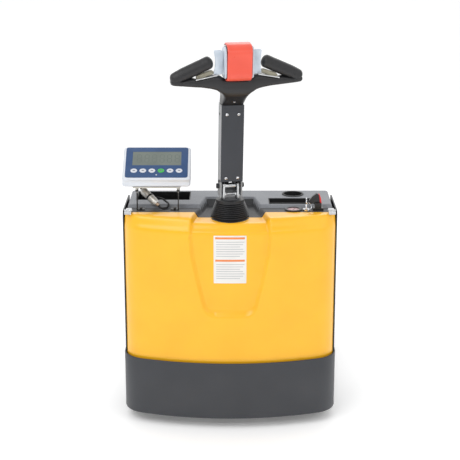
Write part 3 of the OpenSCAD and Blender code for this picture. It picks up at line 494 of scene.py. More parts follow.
SKIRT_CUT = ((4, SKIRT_LOW), (2.0, SKIRT_LOW), (0.6, SKIRT_LOW + 1), (0, SKIRT_LOW + 3),
             (0, mix(SKIRT_LOW, SKIRT_TOP, 0.5)), (0, SKIRT_TOP - 3), (0.5, SKIRT_TOP - 1), (1.6, SKIRT_TOP),
             (3.4, SKIRT_TOP), (4, SKIRT_TOP - 1))  # rows of inset and height
skirt_rings = [[(x, y, z) for x, y in outline(HALF_W - inset, inset, BODY_D - 4)] for inset, z in SKIRT_CUT]
skirt_verts, skirt_faces = [p for ring in skirt_rings for p in ring], []
width, count = len(skirt_rings[0]), len(skirt_rings)
for i in range(count):
    a, b = i * width, ((i + 1) % count) * width
    skirt_faces += [(a + k, a + k + 1, b + k + 1, b + k) for k in range(width - 1)]
skirt_faces += [tuple(i * width for i in range(count)), tuple(i * width + width - 1 for i in range(count))]
piece("bumper_skirt_shell", skirt_verts, skirt_faces, SKIRT, "chassis", "skirt_grey", ["bumper_skirt"])

COVER_HALF = HALF_W - 5
COVER_REAR = 114.7
COVER_LOW = SKIRT_TOP - 15  # hidden behind the skirt
PANEL_DEEP = 12
# The pressed panel's half width by height, and the cover's crest as rows of set-back and drop below the shoulder.
PANEL = ((382, 80), (425, 91), (494, 108), (582, 126.5), (668, 135.5), (720, 138.5))
CREST = ((0, 58), (0.4, 48), (1.6, 40.5), (4.8, 34), (8.8, 27.5), (12.2, 20.5), (15.4, 13.5), (18.6, 7.4), (22, 3.6),
         (27, 1.5), (34, 0.4), (45, 0))


def panel_depth(x, z):
    """How far the pressed panel lies behind the cover's bow."""
    side = along(PANEL, z) - abs(x)
    foot = z - PANEL[0][0]
    side_slope, foot_slope, corner = 12, 20, 36
    if side < corner and foot < corner:
        inner = corner - math.hypot(corner - side, corner - foot)
        t = inner / mix(side_slope, foot_slope, smooth((corner - foot) / corner))
    else:
        t = min(side / side_slope, foot / foot_slope)
    return PANEL_DEEP * ramp(t, 0.12)


def notch(x, y):
    """1 on the floor of the notch that the boot stands in, 0 on the shoulders."""
    corner = mix(132, 115, min(1, max(0, (y - 22) / 92)))  # its sides draw in towards the rear
    return ramp((corner - abs(x)) / 13)


base = outline(COVER_HALF, COVER_FRONT, COVER_REAR, 2.4)
normals = []
for i in range(len(base)):
    a, b = base[max(0, i - 1)], base[min(len(base) - 1, i + 1)]
    t = Vector((b[0] - a[0], b[1] - a[1])).normalized()
    normals.append((-t.y, t.x))
cover_rings = [[(x, min(COVER_REAR, y + panel_depth(x, z)), z) for x, y in base]
               for z in spread(COVER_LOW, SHOULDER - CREST[0][1], 3.2)]
for offset, below, _ in catmull([(o, b, 0) for o, b in CREST], 2)[1:]:
    ring = []
    for (x, y), (nx, ny) in zip(base, normals):
        low_part = notch(x, y + ny * offset)
        z = SHOULDER - NOTCH_DEEP * low_part - below * (1 - 0.36 * low_part)
        d = panel_depth(x, z + NOTCH_DEEP * low_part) * low_part
        ring.append((x + nx * offset * 0.2, min(COVER_REAR, y + ny * offset + d), z))
    cover_rings.append(ring)
last, steps = cover_rings[-1], 18
for k in range(1, steps + 1):
    ring = []
    for x, y, z in last:
        y = mix(y, COVER_REAR, k / steps)
        ring.append((x, y, SHOULDER - NOTCH_DEEP * notch(x, y)))
    cover_rings.append(ring)
cover_rings.append([(x, y, z - 5) for x, y, z in cover_rings[-1]])
width = len(base)
cover_verts = [p for ring in cover_rings for p in ring]
cover_faces = []
for i in range(len(cover_rings) - 1):
    for k in range(width - 1):
        a, b = i * width + k, (i + 1) * width + k
        quad = (a, a + 1, b + 1, b)
        points = [cover_verts[v] for v in quad]
        centre = [sum(p[j] for p in points) / 4 for j in range(3)]
        if math.hypot(centre[0], centre[1] - AXIS_Y) < BOOT_HOLE and centre[2] > NOTCH - 8:
            continue
        flat_area = (Vector(points[2]) - Vector(points[0])).cross(Vector(points[3]) - Vector(points[1])).length
        if flat_area > 1e-4:
            cover_faces.append(quad)
cover = piece("front_cover_shell", cover_verts, cover_faces, YELLOW, "chassis", "cover_yellow", ["front_cover"],
              angle=60)
thicken(cover, 4)

# ---------- top cover ----------

BIN = (-HALF_W + 40, -132, BODY_D - 137, BODY_D - 25)  # x from and to, y from and to
SLOT = (127, 296, BODY_D - 190, BODY_D - 114)
CUP = (211, BODY_D - 62, 34.5)  # x, y and radius
STEP_Y = 170                    # where the ledge steps up to the plateau
TOP_REAR = BODY_D - 3
TOP_HALF = HALF_W - 16


def tray(x, y):
    """1 on the floor of the tray around the boot, 0 outside it."""
    if y < STEP_Y - 8:
        half = mix(NOTCH_HALF - 2, NOTCH_HALF - 14, smooth((y - 116) / 46))
    elif y < STEP_Y + 30:
        half = mix(NOTCH_HALF - 14, NOTCH_HALF - 20, (y - STEP_Y + 8) / 38)
    else:
        half = mix(NOTCH_HALF - 20, 80, (y - STEP_Y - 30) / 72)
    edge = min((half + 3 - abs(x)) / 14, (274 - y) / 9)
    return smooth(edge)


def top_height(x, y):
    z = mix(SHOULDER, PLATEAU, smooth((y - STEP_Y + 1) / 8))
    for gap, edge in ((TOP_HALF - abs(x), 10.0), (TOP_REAR - y, 9.0)):
        if gap < edge:
            z -= edge - math.sqrt(max(0, edge * edge - (edge - gap) ** 2))
    if y < 120:
        z -= 4 - math.sqrt(max(0, 16 - min(16, (120 - y) ** 2 * 0.72)))
    return mix(z, NOTCH, tray(x, y))


def lines(a, b, step, edges):
    """Grid lines from a to b that also run through the edges."""
    out = set(round(v, 3) for v in spread(a, b, step))
    for e in edges:
        if a < e < b:
            out = {v for v in out if abs(v - e) > step * 0.45}
            out.add(e)
    return sorted(out)


xs = lines(-TOP_HALF, TOP_HALF, 4, [BIN[0], BIN[1], SLOT[0], SLOT[1], -HALF_W + 18, HALF_W - 18])
ys = lines(115.3, TOP_REAR, 4, [BIN[2], BIN[3], SLOT[2], SLOT[3], BODY_D - 5, 117])
top_verts = [(x, y, top_height(x, y)) for y in ys for x in xs]
for i, (x, y, z) in enumerate(top_verts):
    for cx, cy, r in (CUP, (0, AXIS_Y, BOOT_HOLE)):
        reach = math.hypot(x - cx, y - cy)
        if abs(reach - r) < 2.2:  # near enough to pull onto the hole's rim
            top_verts[i] = (cx + (x - cx) * r / reach, cy + (y - cy) * r / reach, z)
across = len(xs)
top_faces = []
for j in range(len(ys) - 1):
    for i in range(across - 1):
        x, y = (xs[i] + xs[i + 1]) / 2, (ys[j] + ys[j + 1]) / 2
        if BIN[0] < x < BIN[1] and BIN[2] < y < BIN[3] or SLOT[0] < x < SLOT[1] and SLOT[2] < y < SLOT[3]:
            continue
        if math.hypot(x - CUP[0], y - CUP[1]) < CUP[2] or math.hypot(x, y - AXIS_Y) < BOOT_HOLE:
            continue
        a = j * across + i
        top_faces.append((a, a + 1, a + across + 1, a + across))
# the hanging edge all round the top cover
border = ([j * across for j in range(len(ys))][::-1] + list(range(1, across))
          + [j * across + across - 1 for j in range(1, len(ys))]
          + [len(ys) * across - 1 - i for i in range(1, across)])
base_index = len(top_verts)
for b in border:
    x, y, z = top_verts[b]
    top_verts.append((x, y, min(z - 0.5, SHOULDER - 22)))
for k in range(len(border)):
    a, b = border[k], border[(k + 1) % len(border)]
    if a != b:
        top_faces.append((a, b, base_index + (k + 1) % len(border), base_index + k))
top_cover = piece("top_cover_shell", top_verts, top_faces, GREY, "chassis", "cover_grey", ["top_cover"], angle=50)
top_cover.data.materials.append(LEDGE)
for face in top_cover.data.polygons:
    x, y = face.center.x / MM, (face.center.y - FRONT) / MM
    face.material_index = int(y < STEP_Y - 1 or tray(x, y) > 0.5)
thicken(top_cover, 3)

# ---------- placard: two generic cards, no lettering ----------


def on_front(x, z, out=0.0):
    """A place on the front cover, or so far out in front of it."""
    end = COVER_HALF - CORNER
    return (x, COVER_FRONT + BOW * (x / end) ** 2 + panel_depth(x, z) - out, z)


def front_patch(name, x0, x1, z0, z1, out, mat, r=1.2):
    """A thin card with cut corners that follows the front cover."""
    rings = []
    for x in [x0, x0 + r] + spread(x0 + r, x1 - r, 5)[1:-1] + [x1 - r, x1]:
        cut = r if x in (x0, x1) else 0
        rings.append([on_front(x, z0 + cut, out - 0.6), on_front(x, z0 + cut, out), on_front(x, z1 - cut, out),
                      on_front(x, z1 - cut, out - 0.6)])
    return piece(name, *loft(rings), mat, "chassis", "case_white", flat=True)


CARD_X, CARD_TOP, CARD_H = 52, 653, 79
for k in range(2):
    edge = CARD_TOP - k * CARD_H
    first = edge + 5 * k  # the lower card's bar and lines stand 5 higher on it
    front_patch(f"placard_{k}", -CARD_X, CARD_X, edge - CARD_H, edge, 0.8, CARD)
    front_patch(f"placard_bar_{k}", -CARD_X + 5, CARD_X - 5, first - 11.5, first - 5, 1.0, ORANGE, 0.6)
    for j in range(7):
        end = CARD_X - 6 - (14 if j in (2, 6) else 4 * (j % 2))
        z = first - 21 - 7.8 * j
        front_patch(f"placard_line_{k}_{j}", -CARD_X + 8, end, z - 1.1, z + 1.1, 0.95, RULE, 0.5)

# ---------- gauge, key, disconnect, clamps ------------------


def lathe_at(name, profile, centre, mat, body, slot=None, replaces=(), place=LOC, n=64, matrix=None):
    """A turned piece, standing at centre or set by a matrix."""
    part = moved(lathe(profile, n), Matrix.Translation(centre) if matrix is None else matrix)
    return piece(name, *part, mat, body, slot, replaces, place, angle=35)


G = (205, 141, SHOULDER)  # the battery gauge's place
lathe_at("gauge_bezel", [(19, 2.6), (20.5, 4.2), (22, 5), (26.5, 4.9), (28.2, 3.6), (28.5, 0), (19, 0)], G, TRIM,
         "chassis", "trim_black", ["battery_gauge"])
lathe_at("gauge_dial", [(0.01, 2.4), (12, 2.9), (19.2, 2.4), (19.2, 1), (0.01, 1)], G, DIAL, "chassis", "trim_black")
ticks = []
for k in range(7):
    rot = Matrix.Translation(G) @ Matrix.Rotation(math.radians(50 * k - 60), 4, "Z")
    ticks.append(moved(slab([(-0.6, 12.5), (0.6, 12.5), (0.6, 16.5), (-0.6, 16.5)], 2.5, 3.2, 0.2,
                            as_is), rot))
ticks.append(moved(slab([(-0.7, -3), (0.7, -3), (0.2, 12), (-0.2, 12)], 2.6, 3.4, 0.15, as_is),
                   Matrix.Translation(G) @ Matrix.Rotation(math.radians(-35), 4, "Z")))
piece("gauge_marks", *join(*ticks), TRIM, "chassis", "trim_black", flat=True)

K = Vector((253, 126, SHOULDER + 15))  # the middle of the key's ring
RING_N, WIRE_R = 40, 0.9
ring_line = [K + Vector((9 * math.cos(a), 5 * math.sin(a), 11 * math.sin(a)))
             for a in [2 * math.pi * i / RING_N for i in range(RING_N)]]
rings = []
for i, p in enumerate(ring_line):
    t = (ring_line[(i + 1) % RING_N] - ring_line[i - 1]).normalized()
    u = t.cross(Vector((0, 1, 0))).normalized()
    v = t.cross(u)
    rings.append([p + WIRE_R * (u * math.cos(k * math.pi / 4) + v * math.sin(k * math.pi / 4)) for k in range(8)])
piece("key_ring", *loft(rings, closed=True), NICKEL, "ignition_key", "nickel")

strip = rounded([(291, 20), (296.5, 21), (294, 38), (289.5, 50.5), (285.5, 52.5), (289, 38)], 1.5, 3)
piece("disconnect_red_strip", *slab(strip, 140.6, 155.4, 1.0, lambda u, v, w: (u, w, SHOULDER + v)), RED_STRIP,
      "disconnect", "belly_red")
for s, side in SIDES:
    for x in (HALF_W - 28, HALF_W - 18):
        lathe_at(f"clamp_rivet_{side[0]}_{x:.0f}", [(0.01, 5.2), (1.6, 5.0), (2.5, 4.2), (2.5, 2.0), (0.01, 2.0)],
                 (s * x, 96, SHOULDER), LINER, "chassis", "zinc", n=20)

# ---------- scale display ----------

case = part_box("indicator_case")
CASE_X = (case[0].x + case[1].x) / 2 / MM
CASE_HALF = (case[1].x - case[0].x) / 2 / MM
SLOPE = math.asin(joints["key_1_press"]["axis"][1])
FACE_Y, FACE_Z, FACE_HALF = 188.5, SHOULDER + 146, 71.5
CASE_LOW = SHOULDER + 78
FACE = Matrix.Translation((CASE_X, FACE_Y, FACE_Z)) @ Matrix.Rotation(SLOPE, 4, "X")


def face_yz(v, n):
    p = FACE @ Vector((0, v, n))
    return (p.y, p.z)


section = rounded([(face_yz(-FACE_HALF, 0)[0] + 4, CASE_LOW), face_yz(-FACE_HALF, -14), face_yz(-FACE_HALF, 0),
                   face_yz(FACE_HALF, 0), face_yz(FACE_HALF, -20), (FACE_Y + 26, CASE_LOW)],
                  [9, 9, 9, 9, 9, 12], 6)
CASE_EDGE = ((CASE_HALF, 9), (CASE_HALF - 0.6, 5.5), (CASE_HALF - 2.2, 2.6), (CASE_HALF - 5, 0.8), (CASE_HALF - 9, 0))
piece("indicator_case_shell",
      *loft([[(CASE_X + w, u, v) for u, v in shrink(section, d)]
             for w, d in [(-w, d) for w, d in CASE_EDGE] + list(CASE_EDGE[::-1])]),
      WHITE, "chassis", "case_white", ["indicator_case"], angle=60)


def on_face(u, v, n):
    return tuple(FACE @ Vector((u, v, n)))


panel = rounded([(-101, -65), (101, -65), (101, 66), (-101, 66)], 9, 6)
piece("indicator_panel_plate", *slab(panel, 0, 1.2, 0.3, on_face), BLUE, "chassis", "panel_blue",
      ["indicator_panel"], angle=30)
frame_out = rounded([(-82, -15.5), (82, -15.5), (82, 49.5), (-82, 49.5)], 2.5, 4)
frame_in = rounded([(-79, -12.5), (79, -12.5), (79, 46.5), (-79, 46.5)], 1.5, 4)
rim_rings = [[on_face(u, v, n) for u, v in shape] for shape, n in (
    (frame_out, 1.1), (frame_out, 1.5), (frame_in, 1.5), (frame_in, 1.1))]
piece("display_rim", *loft(rim_rings, closed=True), BLUE, "chassis", "panel_blue", angle=30)
piece("indicator_display_window", *slab(frame_in, 0.6, 1.35, 0.1, on_face), LCD, "chassis", "lcd",
      ["indicator_display"], flat=True)
digits = []
SEG = 1.3  # half the width of a digit's segment
for d in range(6):
    x = -62 + 24.5 * d
    for a, b in (((0, 0), (10, 0)), ((0, 16), (10, 16)), ((0, 32), (10, 32)),
                 ((-1.5, 1.5), (-1.5, 14.5)), ((11.5, 1.5), (11.5, 14.5)),
                 ((-1.5, 17.5), (-1.5, 30.5)), ((11.5, 17.5), (11.5, 30.5))):
        if a[0] == b[0]:
            shape = [(x + a[0] - SEG, a[1]), (x + a[0] + SEG, a[1]), (x + b[0] + SEG, b[1]), (x + b[0] - SEG, b[1])]
        else:
            shape = [(x + a[0], a[1] - SEG), (x + b[0], b[1] - SEG), (x + b[0], b[1] + SEG), (x + a[0], a[1] + SEG)]
        digits.append(slab([(u, v + 1) for u, v in shape], 1.3, 1.4, 0.03, on_face))
piece("display_segments", *join(*digits), SEGMENT, "chassis", "lcd", flat=True)


def ellipse(rx, ry, n=40, cx=0.0, cy=0.0):
    return [(cx + rx * math.cos(2 * math.pi * i / n), cy + ry * math.sin(2 * math.pi * i / n)) for i in range(n)]


for i in range(1, 7):
    cx, cy = (i - 3.5) * 29.2, -36
    green = i == 4
    cap = loft([[on_face(u, v, n) for u, v in ellipse(10.8 * s, 8.8 * s, 40, cx, cy)] for s, n in (
        (1.0, 0.9), (1.0, 1.7), (0.97, 2.1), (0.9, 2.3), (0.5, 2.34))])
    piece(f"indicator_key_cap_{i}", *cap, KEY_GREEN if green else KEY_WHITE, f"key_{i}",
          "key_green" if green else "key_white", [f"indicator_key_{i}"], angle=50)
    marks = slab(rounded([(cx - 4, cy - 1.6), (cx + 4, cy - 1.6), (cx + 4, cy + 1.6), (cx - 4, cy + 1.6)], 1.2, 3),
                 2.2, 2.38, 0.03, on_face)
    piece(f"indicator_key_mark_{i}", *marks, MARK, f"key_{i}", "panel_blue", flat=True)
led = loft([[on_face(u, v, n) for u, v in ellipse(2.2 * s, 2.2 * s, 20, 0, -54)] for s, n in (
    (1, 1), (1, 1.5), (0.7, 1.8), (0.2, 1.9))])
piece("indicator_led", *led, KEY_WHITE, "chassis", "key_white")
for x in (CASE_X - 63, CASE_X + 70):
    screw = [(0.01, 6.5), (3.4, 6.2), (5.2, 4.8), (5.2, 0), (0.01, 0)]
    lathe_at(f"bracket_screw_{x:.0f}", screw, (x, 141, CASE_LOW - 16), TRIM, "chassis", "zinc", n=24)

# ---------- connector in the scale cable ----------

PLUG_L = (PLUG_B - PLUG_A).length
PLUG = Matrix.Translation(PLUG_A) @ Vector((0, 0, 1)).rotation_difference(PLUG_DIR).to_matrix().to_4x4()


def ribs(r0, r1, z0, z1, n):
    """n rings standing from r0 out to r1, as part of a turned outline."""
    out = []
    for i in range(n):
        a, b = mix(z0, z1, i / n), mix(z0, z1, (i + 1) / n)
        out += [(r0, a), (r1, mix(a, b, 0.2)), (r1, mix(a, b, 0.7)), (r0, mix(a, b, 0.9))]
    return out


FAT = Matrix.Diagonal((1.2, 1.2, 1, 1))  # a fifth thicker than the CAD node
for name, mat, slot, nodes, n, profile in (
        ("socket", ALLOY, "connector_alloy", ["cable_connector"], 48,
         [(0.01, 0), (7, 0.2), (8.5, 5)] + ribs(9.6, 10.5, 6, 31, 7) + [(9.6, 33), (0.01, 33)]),
        ("band", TRIM, "trim_black", (), 48,
         [(0.01, 33), (10.6, 33.2), (11, 34.4), (11, 37), (10.6, 38.2), (0.01, 38.4)]),
        ("plug", ALLOY, "connector_alloy", (), 48,
         [(0.01, 38.4), (9.6, 38.6)] + ribs(9.8, 10.5, 39, 60, 6) + [(9.8, 62), (8.6, 66), (6.6, 71), (0.01, 71)]),
        ("gland", COPPER, "connector_alloy", (), 12,
         [(0.01, 71), (5.2, 71), (5.2, PLUG_L - 4), (4.4, PLUG_L - 1.5), (3.3, PLUG_L), (0.01, PLUG_L)])):
    lathe_at(f"connector_{name}", profile, None, mat, "chassis", slot, nodes, matrix=PLUG @ FAT, n=n)
lathe_at("connector_lead", [(0.01, -25), (3.3, -25), (3.4, -8), (4.6, -2), (5.6, 0.6), (0.01, 0.6)], None, CABLE,
         "chassis", "cable_black", matrix=PLUG, n=32)

# ---------- boot and clevis ----------

z0, z1 = NOTCH + 0.8, PIVOT - 52  # foot and top of the folds
boot_outer = [(54, z0), (60.5, z0), (62, z0 + 1.2), (61.8, z0 + 3)]
FOLDS, FOLD_N = 8, 8
for i in range(FOLDS * FOLD_N):
    t = i / (FOLDS * FOLD_N)
    wave = 0.5 - 0.5 * math.cos(2 * math.pi * i / FOLD_N)
    boot_outer.append((61.6 - 14.4 * t ** 1.3 - 3.8 * wave ** 1.5, mix(z0 + 4, z1, t)))
boot_outer += [(46.4, z1), (46, z1 + 1.2), (46, z1 + 6.6), (44.6, z1 + 8), (30.4, z1 + 8), (30.4, z1 + 3),
               (42, z1 - 2)]
lathe_at("boot_bellows", boot_outer, (0, 0, 0), BOOT, "drive_unit", "boot_rubber", ["boot"], STEER, n=96)

seat = [(x, y) for x, y in ellipse(62.5, 70, 64, 0, AXIS_Y - 14) if y < 112]
seat_rings = [[(x, y, z) for x, y in shrink(seat, d)] for z, d in (
    (NOTCH - 1.5, 0), (NOTCH + 0.3, 0), (NOTCH + 1.0, 0.8), (NOTCH + 1.2, 2.5))]
piece("boot_collar", *loft(seat_rings), BOOT, "chassis", "boot_rubber", angle=50)

for s, side in SIDES:
    ear = rounded([(-16, PIVOT - 41), (16, PIVOT - 41), (16, PIVOT + 6), (8, PIVOT + 15.8), (-8, PIVOT + 15.8),
                   (-16, PIVOT + 6)], [1, 1, 9, 8, 8, 9], 5)
    a, b = sorted((s * 19.6, s * 26.4))
    piece(f"clevis_ear_{side}", *slab(ear, a, b, 0.8, lambda u, v, w: (w, u * 1.02, v)), ZINC, "drive_unit", "zinc",
          place=STEER)


def bolt_x(name, x0, x1, y, z, r, mat, body, slot, sides=6, place=STEER):
    """A bolt head or nut on an axis along X."""
    out = [(0.01, 0), (r, 0), (r, (x1 - x0) * 0.75), (r * 0.82, x1 - x0), (0.01, x1 - x0)]
    m = Matrix.Translation((x0, y, z)) @ Matrix.Rotation(math.radians(90), 4, "Y")
    return piece(name, *moved(lathe(out, sides), m), mat, body, slot, place=place, angle=30)


def screw_y(name, x, y, z, r, mat, body, slot, place=TILLER):
    """A pan-head screw facing the operator."""
    out = [(0.01, 2.6), (r * 0.45, 2.5), (r * 0.85, 1.7), (r, 0.4), (r, -0.4), (0.01, -0.4)]
    m = Matrix.Translation((x, y, z)) @ Matrix.Rotation(math.radians(90), 4, "X")
    cross = [slab([(-r * 0.5, -r * 0.12), (r * 0.5, -r * 0.12), (r * 0.5, r * 0.12), (-r * 0.5, r * 0.12)],
                  2.3, 2.75, 0.05, as_is)]
    cross.append(moved(cross[0], Matrix.Rotation(math.radians(90), 4, "Z")))
    piece(name, *moved(lathe(out, 28), m), mat, body, slot, place=place, angle=40)
    piece(name + "_cross", *moved(join(*cross), m), TRIM, body, slot, place=place, flat=True)


bolt_x("pivot_bolt_left", -45, -36.5, 0, PIVOT, 8.5, TRIM, "drive_unit", "zinc")
bolt_x("pivot_nut_right", 36.5, 45, 0, PIVOT, 8.5, TRIM, "drive_unit", "zinc")
bolt_x("stop_bolt_left", -40, -35.8, -4, PIVOT + 17, 5, TRIM, "tiller", "zinc", place=TILLER)
bolt_x("clevis_spacer", -19.5, 19.5, 0, PIVOT, 9.3, ZINC, "drive_unit", "zinc", 40)
bolt_x("clevis_cross_bolt", -19.5, 19.5, -8, PIVOT - 26, 4.2, ZINC, "drive_unit", "zinc", 24)
for s, side in SIDES:
    bolt_x(f"clevis_nut_{side[0]}", *sorted((s * 19.5, s * 13.5)), -8, PIVOT - 26, 7, ZINC, "drive_unit", "zinc")
for i, x in enumerate((-19, 19)):
    for j, z in enumerate((PIVOT + 32, ARM_TOP - 29)):
        screw_y(f"arm_screw_{i}{j}", x, -25.6, z, 5, NICKEL, "tiller", "zinc")

# ---------- head ----------


def superellipse(cy, cz, hy, hz, power, n=28):
    """A rounded box's outline."""
    out = []
    for k in range(n):
        a = 2 * math.pi * k / n
        c, s = math.cos(a), math.sin(a)
        out.append((cy + hy * math.copysign(abs(c) ** (2 / power), c),
                    cz + hz * math.copysign(abs(s) ** (2 / power), s)))
    return out


# The bar's lower and upper edge, from the middle out to the tip, measured from the head's own height.
LOW = ((0, -100), (42, -99), (52, -94.5), (64, -89), (80, -84.5), (111, -79), (140, -76.5), (173, -73), (TIP, -70))
HIGH = ((0, -54), (42, -52), (54, -43), (72, -41), (104, -48), (127, -53.5), (136, -48), (152, -51), (176, -56),
        (190, -47), (TIP, -50))
bar = []
for x in spread(-TIP + 0.5, TIP - 0.5, 4.0):
    near = abs(x)
    end = math.sqrt(max(0.02, 1 - max(0, (near - TIP + 12) / 12) ** 2))
    low_z, high_z = along(LOW, near), along(HIGH, near)
    bar.append([(x, u, HEAD + v) for u, v in superellipse(
        HEAD_Y, (low_z + high_z) / 2, 17 * mix(0.55, 1, end), (high_z - low_z) / 2 * mix(0.5, 1, end), 3.0)])
neck = []  # from rows of height, near face, far face and half width
for z, near, far, half in ((-152, -22, 22, 36), (-146, -30, 22, 36), (-136, -44, 18, 36), (-127, -56, 14, 36.6),
                           (-119, -66, 10, 37.5), (-112, -74, 7, 40), (-106, -79, 4, 43.5), (-100, -83, 2, 49),
                           (-94, -86, 0, 58), (-86, -88, -4, 66), (-62, -88, -28, 58)):
    ring = []
    for k in range(40):
        a = 2 * math.pi * k / 40
        c, d = math.cos(a), math.sin(a)
        ring.append((half * math.copysign(abs(c) ** 0.3, c), (near + far) / 2 + (far - near) / 2
                     * math.copysign(abs(d) ** 0.3, d), HEAD + z))
    neck.append(ring)
core = slab(rounded([(-97, HEAD - 34), (-78, HEAD - 57), (-29, HEAD - 66), (-29, HEAD + 46), (-76, HEAD + 55),
                     (-97, HEAD + 34)], 6, 3), -39.4, 39.4, 2, along_x)
core = moved(core, TILLER.inverted() @ GEAR)
shell = piece("head_shell", *join(loft(bar), loft(neck), core), HEAD_BLACK, "tiller", "head_black", ["head_casting"],
              place=TILLER, angle=55)
# bar, neck and core become one casting
merge = shell.modifiers.new("merge", "REMESH")
merge.mode = "VOXEL"
merge.voxel_size = 2.6 * MM
merge.use_smooth_shade = True
relax = shell.modifiers.new("relax", "SMOOTH")
relax.factor = 0.5
relax.iterations = 7
screw_y("neck_screw", 0, -42.5, ARM_TOP + 16, 3.0, NICKEL, "tiller", "zinc")

flange = rounded([(-100, -52), (-48, -52), (-42, -40), (-42, 36), (-56, 49), (-90, 54), (-104, 40), (-106, -38)],
                 [10, 8, 8, 12, 14, 18, 14, 12], 6)
paddle = rounded([(49.5, -14), (50.5, -38), (58, -41), (78, -41), (81, -36), (76.5, -14), (76.5, 14), (81, 36),
                  (78, 41), (58, 41), (50.5, 38), (49.5, 14)], [3, 5, 4, 2.5, 4, 14, 14, 4, 2.5, 4, 5, 3], 5)
for s, side in SIDES:
    a, b = sorted((s * 42.6, s * 48.5))
    piece(f"head_flange_{side}", *slab(flange, a, b, 2.2, lambda u, v, w: (w, u, HEAD + v)), PEARL, "tiller",
          "flange_white", ["head_flanges"] if s < 0 else (), GEAR, angle=35)
    blade = slab(paddle, -5, 3.2, 1.8, lambda u, v, w: (s * u, -72 + w + 5 * (v / 40) ** 2, HEAD - 2 + v))
    hub_out = [(0.01, 0), (9, 0), (10, 1.2), (10, 8), (8.6, 9.4), (0.01, 9.6)]
    hub = moved(lathe(hub_out, 32), Matrix.Translation((s * 49.2, -64, HEAD - 2))
                @ Matrix.Rotation(math.radians(90 * s), 4, "Y"))
    piece(f"throttle_paddle_{side}", *join(blade, hub), PEARL, "throttle", "flange_white",
          ["throttle_paddles"] if s < 0 else (), GEAR, angle=35)
    ends = ((204.5, -57), (189, -49), (170, -39.6), (132, -22.6), (94, -5.6), (77, 2))
    line = catmull([(s * x, HEAD_Y, HEAD + z) for x, z in ends], 16)
    reach = [0.0]
    for a, b in zip(line, line[1:]):
        reach.append(reach[-1] + (b - a).length)
    radii = []  # domed over the ends, with two pairs of grooves
    for at in reach:
        r = mix(17.8, 20.0, min(1, at / 40))
        for left, span in ((at, 15), (reach[-1] - at, 15)):
            r *= max(0.04, 1 - max(0, 1 - left / span) ** 2.2) ** 0.5
        for g in (32, 37, 104, 109):
            r -= 0.9 * math.exp(-((at - g) / 1.1) ** 2)
        radii.append(r)
    piece(f"grip_{side}", *tube(line, radii, 40), GRIP, "tiller", "grip_rubber", ["grips"] if s < 0 else (), TILLER,
          angle=60)
    cap = rounded([(-28, -5.5), (28, -5.5), (28, 4), (20, 8), (-20, 8), (-28, 4)], [0.5, 0.5, 4, 6, 6, 4], 4)
    m = Matrix.Translation((s * 100, HEAD_Y, HEAD - 41)) @ Matrix.Rotation(math.radians(19 * s), 4, "Y")
    button = moved(slab(cap, -8, 8, 1.6, along_y), m)
    node = "lift_button" if s < 0 else "lower_button"
    body = "lift_btn" if s < 0 else "lower_btn"
    piece(node + "_cap", *button, BEIGE, body, "button_beige", [node], TILLER, angle=35)
    strip = rounded([(-34, -1.8), (34, -1.8), (34, 1.8), (-34, 1.8)], 1.2, 3)
    rail = Matrix.Translation((s * 97, -87.6, HEAD - 46)) @ Matrix.Rotation(math.radians(11 * s), 4, "Y")
    trim = moved(slab(strip, -1.4, 1.4, 0.5, along_y), rail)
    piece(node + "_trim", *trim, ZINC, "tiller", "zinc", place=TILLER, angle=35)


def band(inset):
    """The red band's outline, seen from the side."""
    r = 28 - inset
    out = [(-46, HEAD - 62 + inset)]
    out += [(-84 + r * math.cos(math.radians(a)), HEAD - 34 + r * math.sin(math.radians(a)))
            for a in range(270, 179, -9)]
    out += [(-112 + inset + 1.8 * math.sin(math.pi * k / 8), HEAD - 34 + 67 * k / 8) for k in range(1, 8)]
    out += [(-84 + r * math.cos(math.radians(a)), HEAD + 33 + r * math.sin(math.radians(a)))
            for a in range(180, 89, -9)]
    return out + [(-72, HEAD + 62.8 - inset), (-58, HEAD + 61.6 - inset), (-46, HEAD + 55 - inset)]


strips = []
BAND_EDGE = ((42, 4.2), (41.4, 1.6), (39.6, 0.4), (37, 0), (20, 0))
for x, inset in [(-x, d) for x, d in BAND_EDGE] + [(0, 0)] + list(BAND_EDGE[::-1]):
    outer = [(x, u, v) for u, v in band(inset)]
    inner = [(p[0], q[0], q[1]) for p, q in zip(outer, band(4.3))]
    strips.append(outer + inner[::-1])
piece("belly_band", *loft(strips), RED, "belly", "belly_red", ["belly_button"], GEAR, angle=60)

# ---------- CAD nodes that stay: materials and softened edges ----------

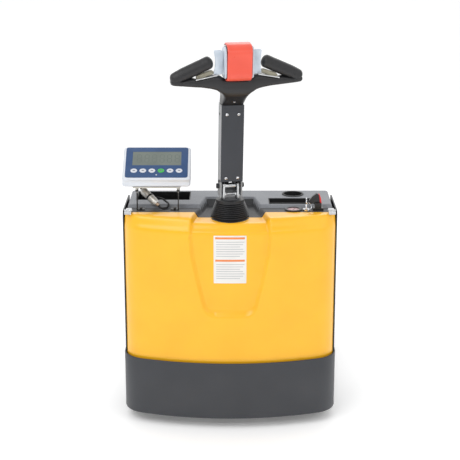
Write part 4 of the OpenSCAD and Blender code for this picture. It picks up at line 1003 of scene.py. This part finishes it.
KEEP = (  # material, edge radius and nodes
    (FRAME, 1.2, "chassis_frame"), (LINER, 0.6, "cover_liners"), (NICKEL, 0.5, "key_switch"),
    (TRIM, 1.0, "disconnect_base"), (ZINC, 1.0, "cover_clamps"), (BATTERY, 3, "batteries"),
    (HYDRAULIC, 3, "hydraulic_unit"), (MOTOR, 1, "lift_cylinder"), (FINS, 0.8, "motor_controller"),
    (STEEL, 0.6, "indicator_bracket"), (NICKEL, 0.4, "key"), (TRIM, 1.6, "disconnect_handle"),
    (FRAME, 1.5, "fork_carriage"), (DECK, 1.2, "fork_left fork_right"),
    (DECK, 1.5, "weigh_deck_left weigh_deck_right"), (FINS, 1, "load_cells"), (CHROME, 0.8, "lift_ram"),
    (LINK, 0.8, "rocker_shaft pull_rods wheel_arm_left wheel_arm_right"),
    (LOAD, 1.5, "load_wheel_left load_wheel_right"), (ZINC, 0.8, "caster_fork_left caster_fork_right"),
    (CASTER, 2, "caster_wheel_left caster_wheel_right"), (CAST, 1.5, "drive_housing"), (MOTOR, 1.2, "traction_motor"),
    (IRON, 1, "drive_hub"), (TREAD, 3, "drive_tyre"), (ARM, 1.2, "tiller_arm"), (ARM_BLACK, 1.2, "tiller_cover"),
    (MOTOR, 0.6, "gas_spring_tube"), (NICKEL, 0.6, "gas_spring_rod"))
for mat, edge, names in KEEP:
    for node in names.split():
        obj = frame["nodes"][node]
        obj.data.materials.clear()
        obj.data.materials.append(mat)
        soften(obj, edge)

# ---------- studio ----------

bpy.ops.mesh.primitive_plane_add(size=80, location=(0, 0, -0.0005))  # just under the wheels
floor = bpy.context.object
floor.name = "floor"
floor.data.materials.append(FLOOR)

world = bpy.data.worlds.new("studio")
bpy.context.scene.world = world
world.use_nodes = True
sky = world.node_tree
sky.nodes["Background"].inputs["Color"].default_value = (1, 1, 1, 1)
# white behind the truck, and darker on the operator's side so that the dark plastics keep their depth
heading = sky.nodes.new("ShaderNodeTexCoord")
part = sky.nodes.new("ShaderNodeSeparateXYZ")
link(sky, heading.outputs["Generated"], part.inputs["Vector"])
link(sky, map_range(sky, part.outputs["Y"], (-0.9, 0), (0.35, 1.02)), sky.nodes["Background"].inputs["Strength"])


def area_light(name, place, aim, size, energy):
    """A rectangular light; places and size in metres, energy in watts."""
    data = bpy.data.lights.new(name, "AREA")
    data.shape = "RECTANGLE"
    data.size, data.size_y = size
    data.energy = energy
    obj = add_object(name, data)
    obj.location = place
    obj.rotation_euler = (Vector(aim) - Vector(place)).to_track_quat("-Z", "Y").to_euler()


area_light("key_light", (-1.6, FRONT - 1.8, 3.2), (0, FRONT + 0.2, 0.7), (2.4, 1.4), 36)
area_light("strip_light", (0, FRONT - 2.6, 2.15), (0, FRONT + 0.1, 0.66), (3.4, 0.16), 15)
area_light("fill_light", (2.4, FRONT - 1.6, 2.0), (0, FRONT + 0.2, 0.6), (2.0, 2.0), 10)
area_light("back_light", (0.4, 2.6, 3.0), (0, 0, 0.5), (3.0, 1.6), 20)
bpy.context.scene.view_settings.view_transform = "Standard"

bpy.context.view_layer.update()
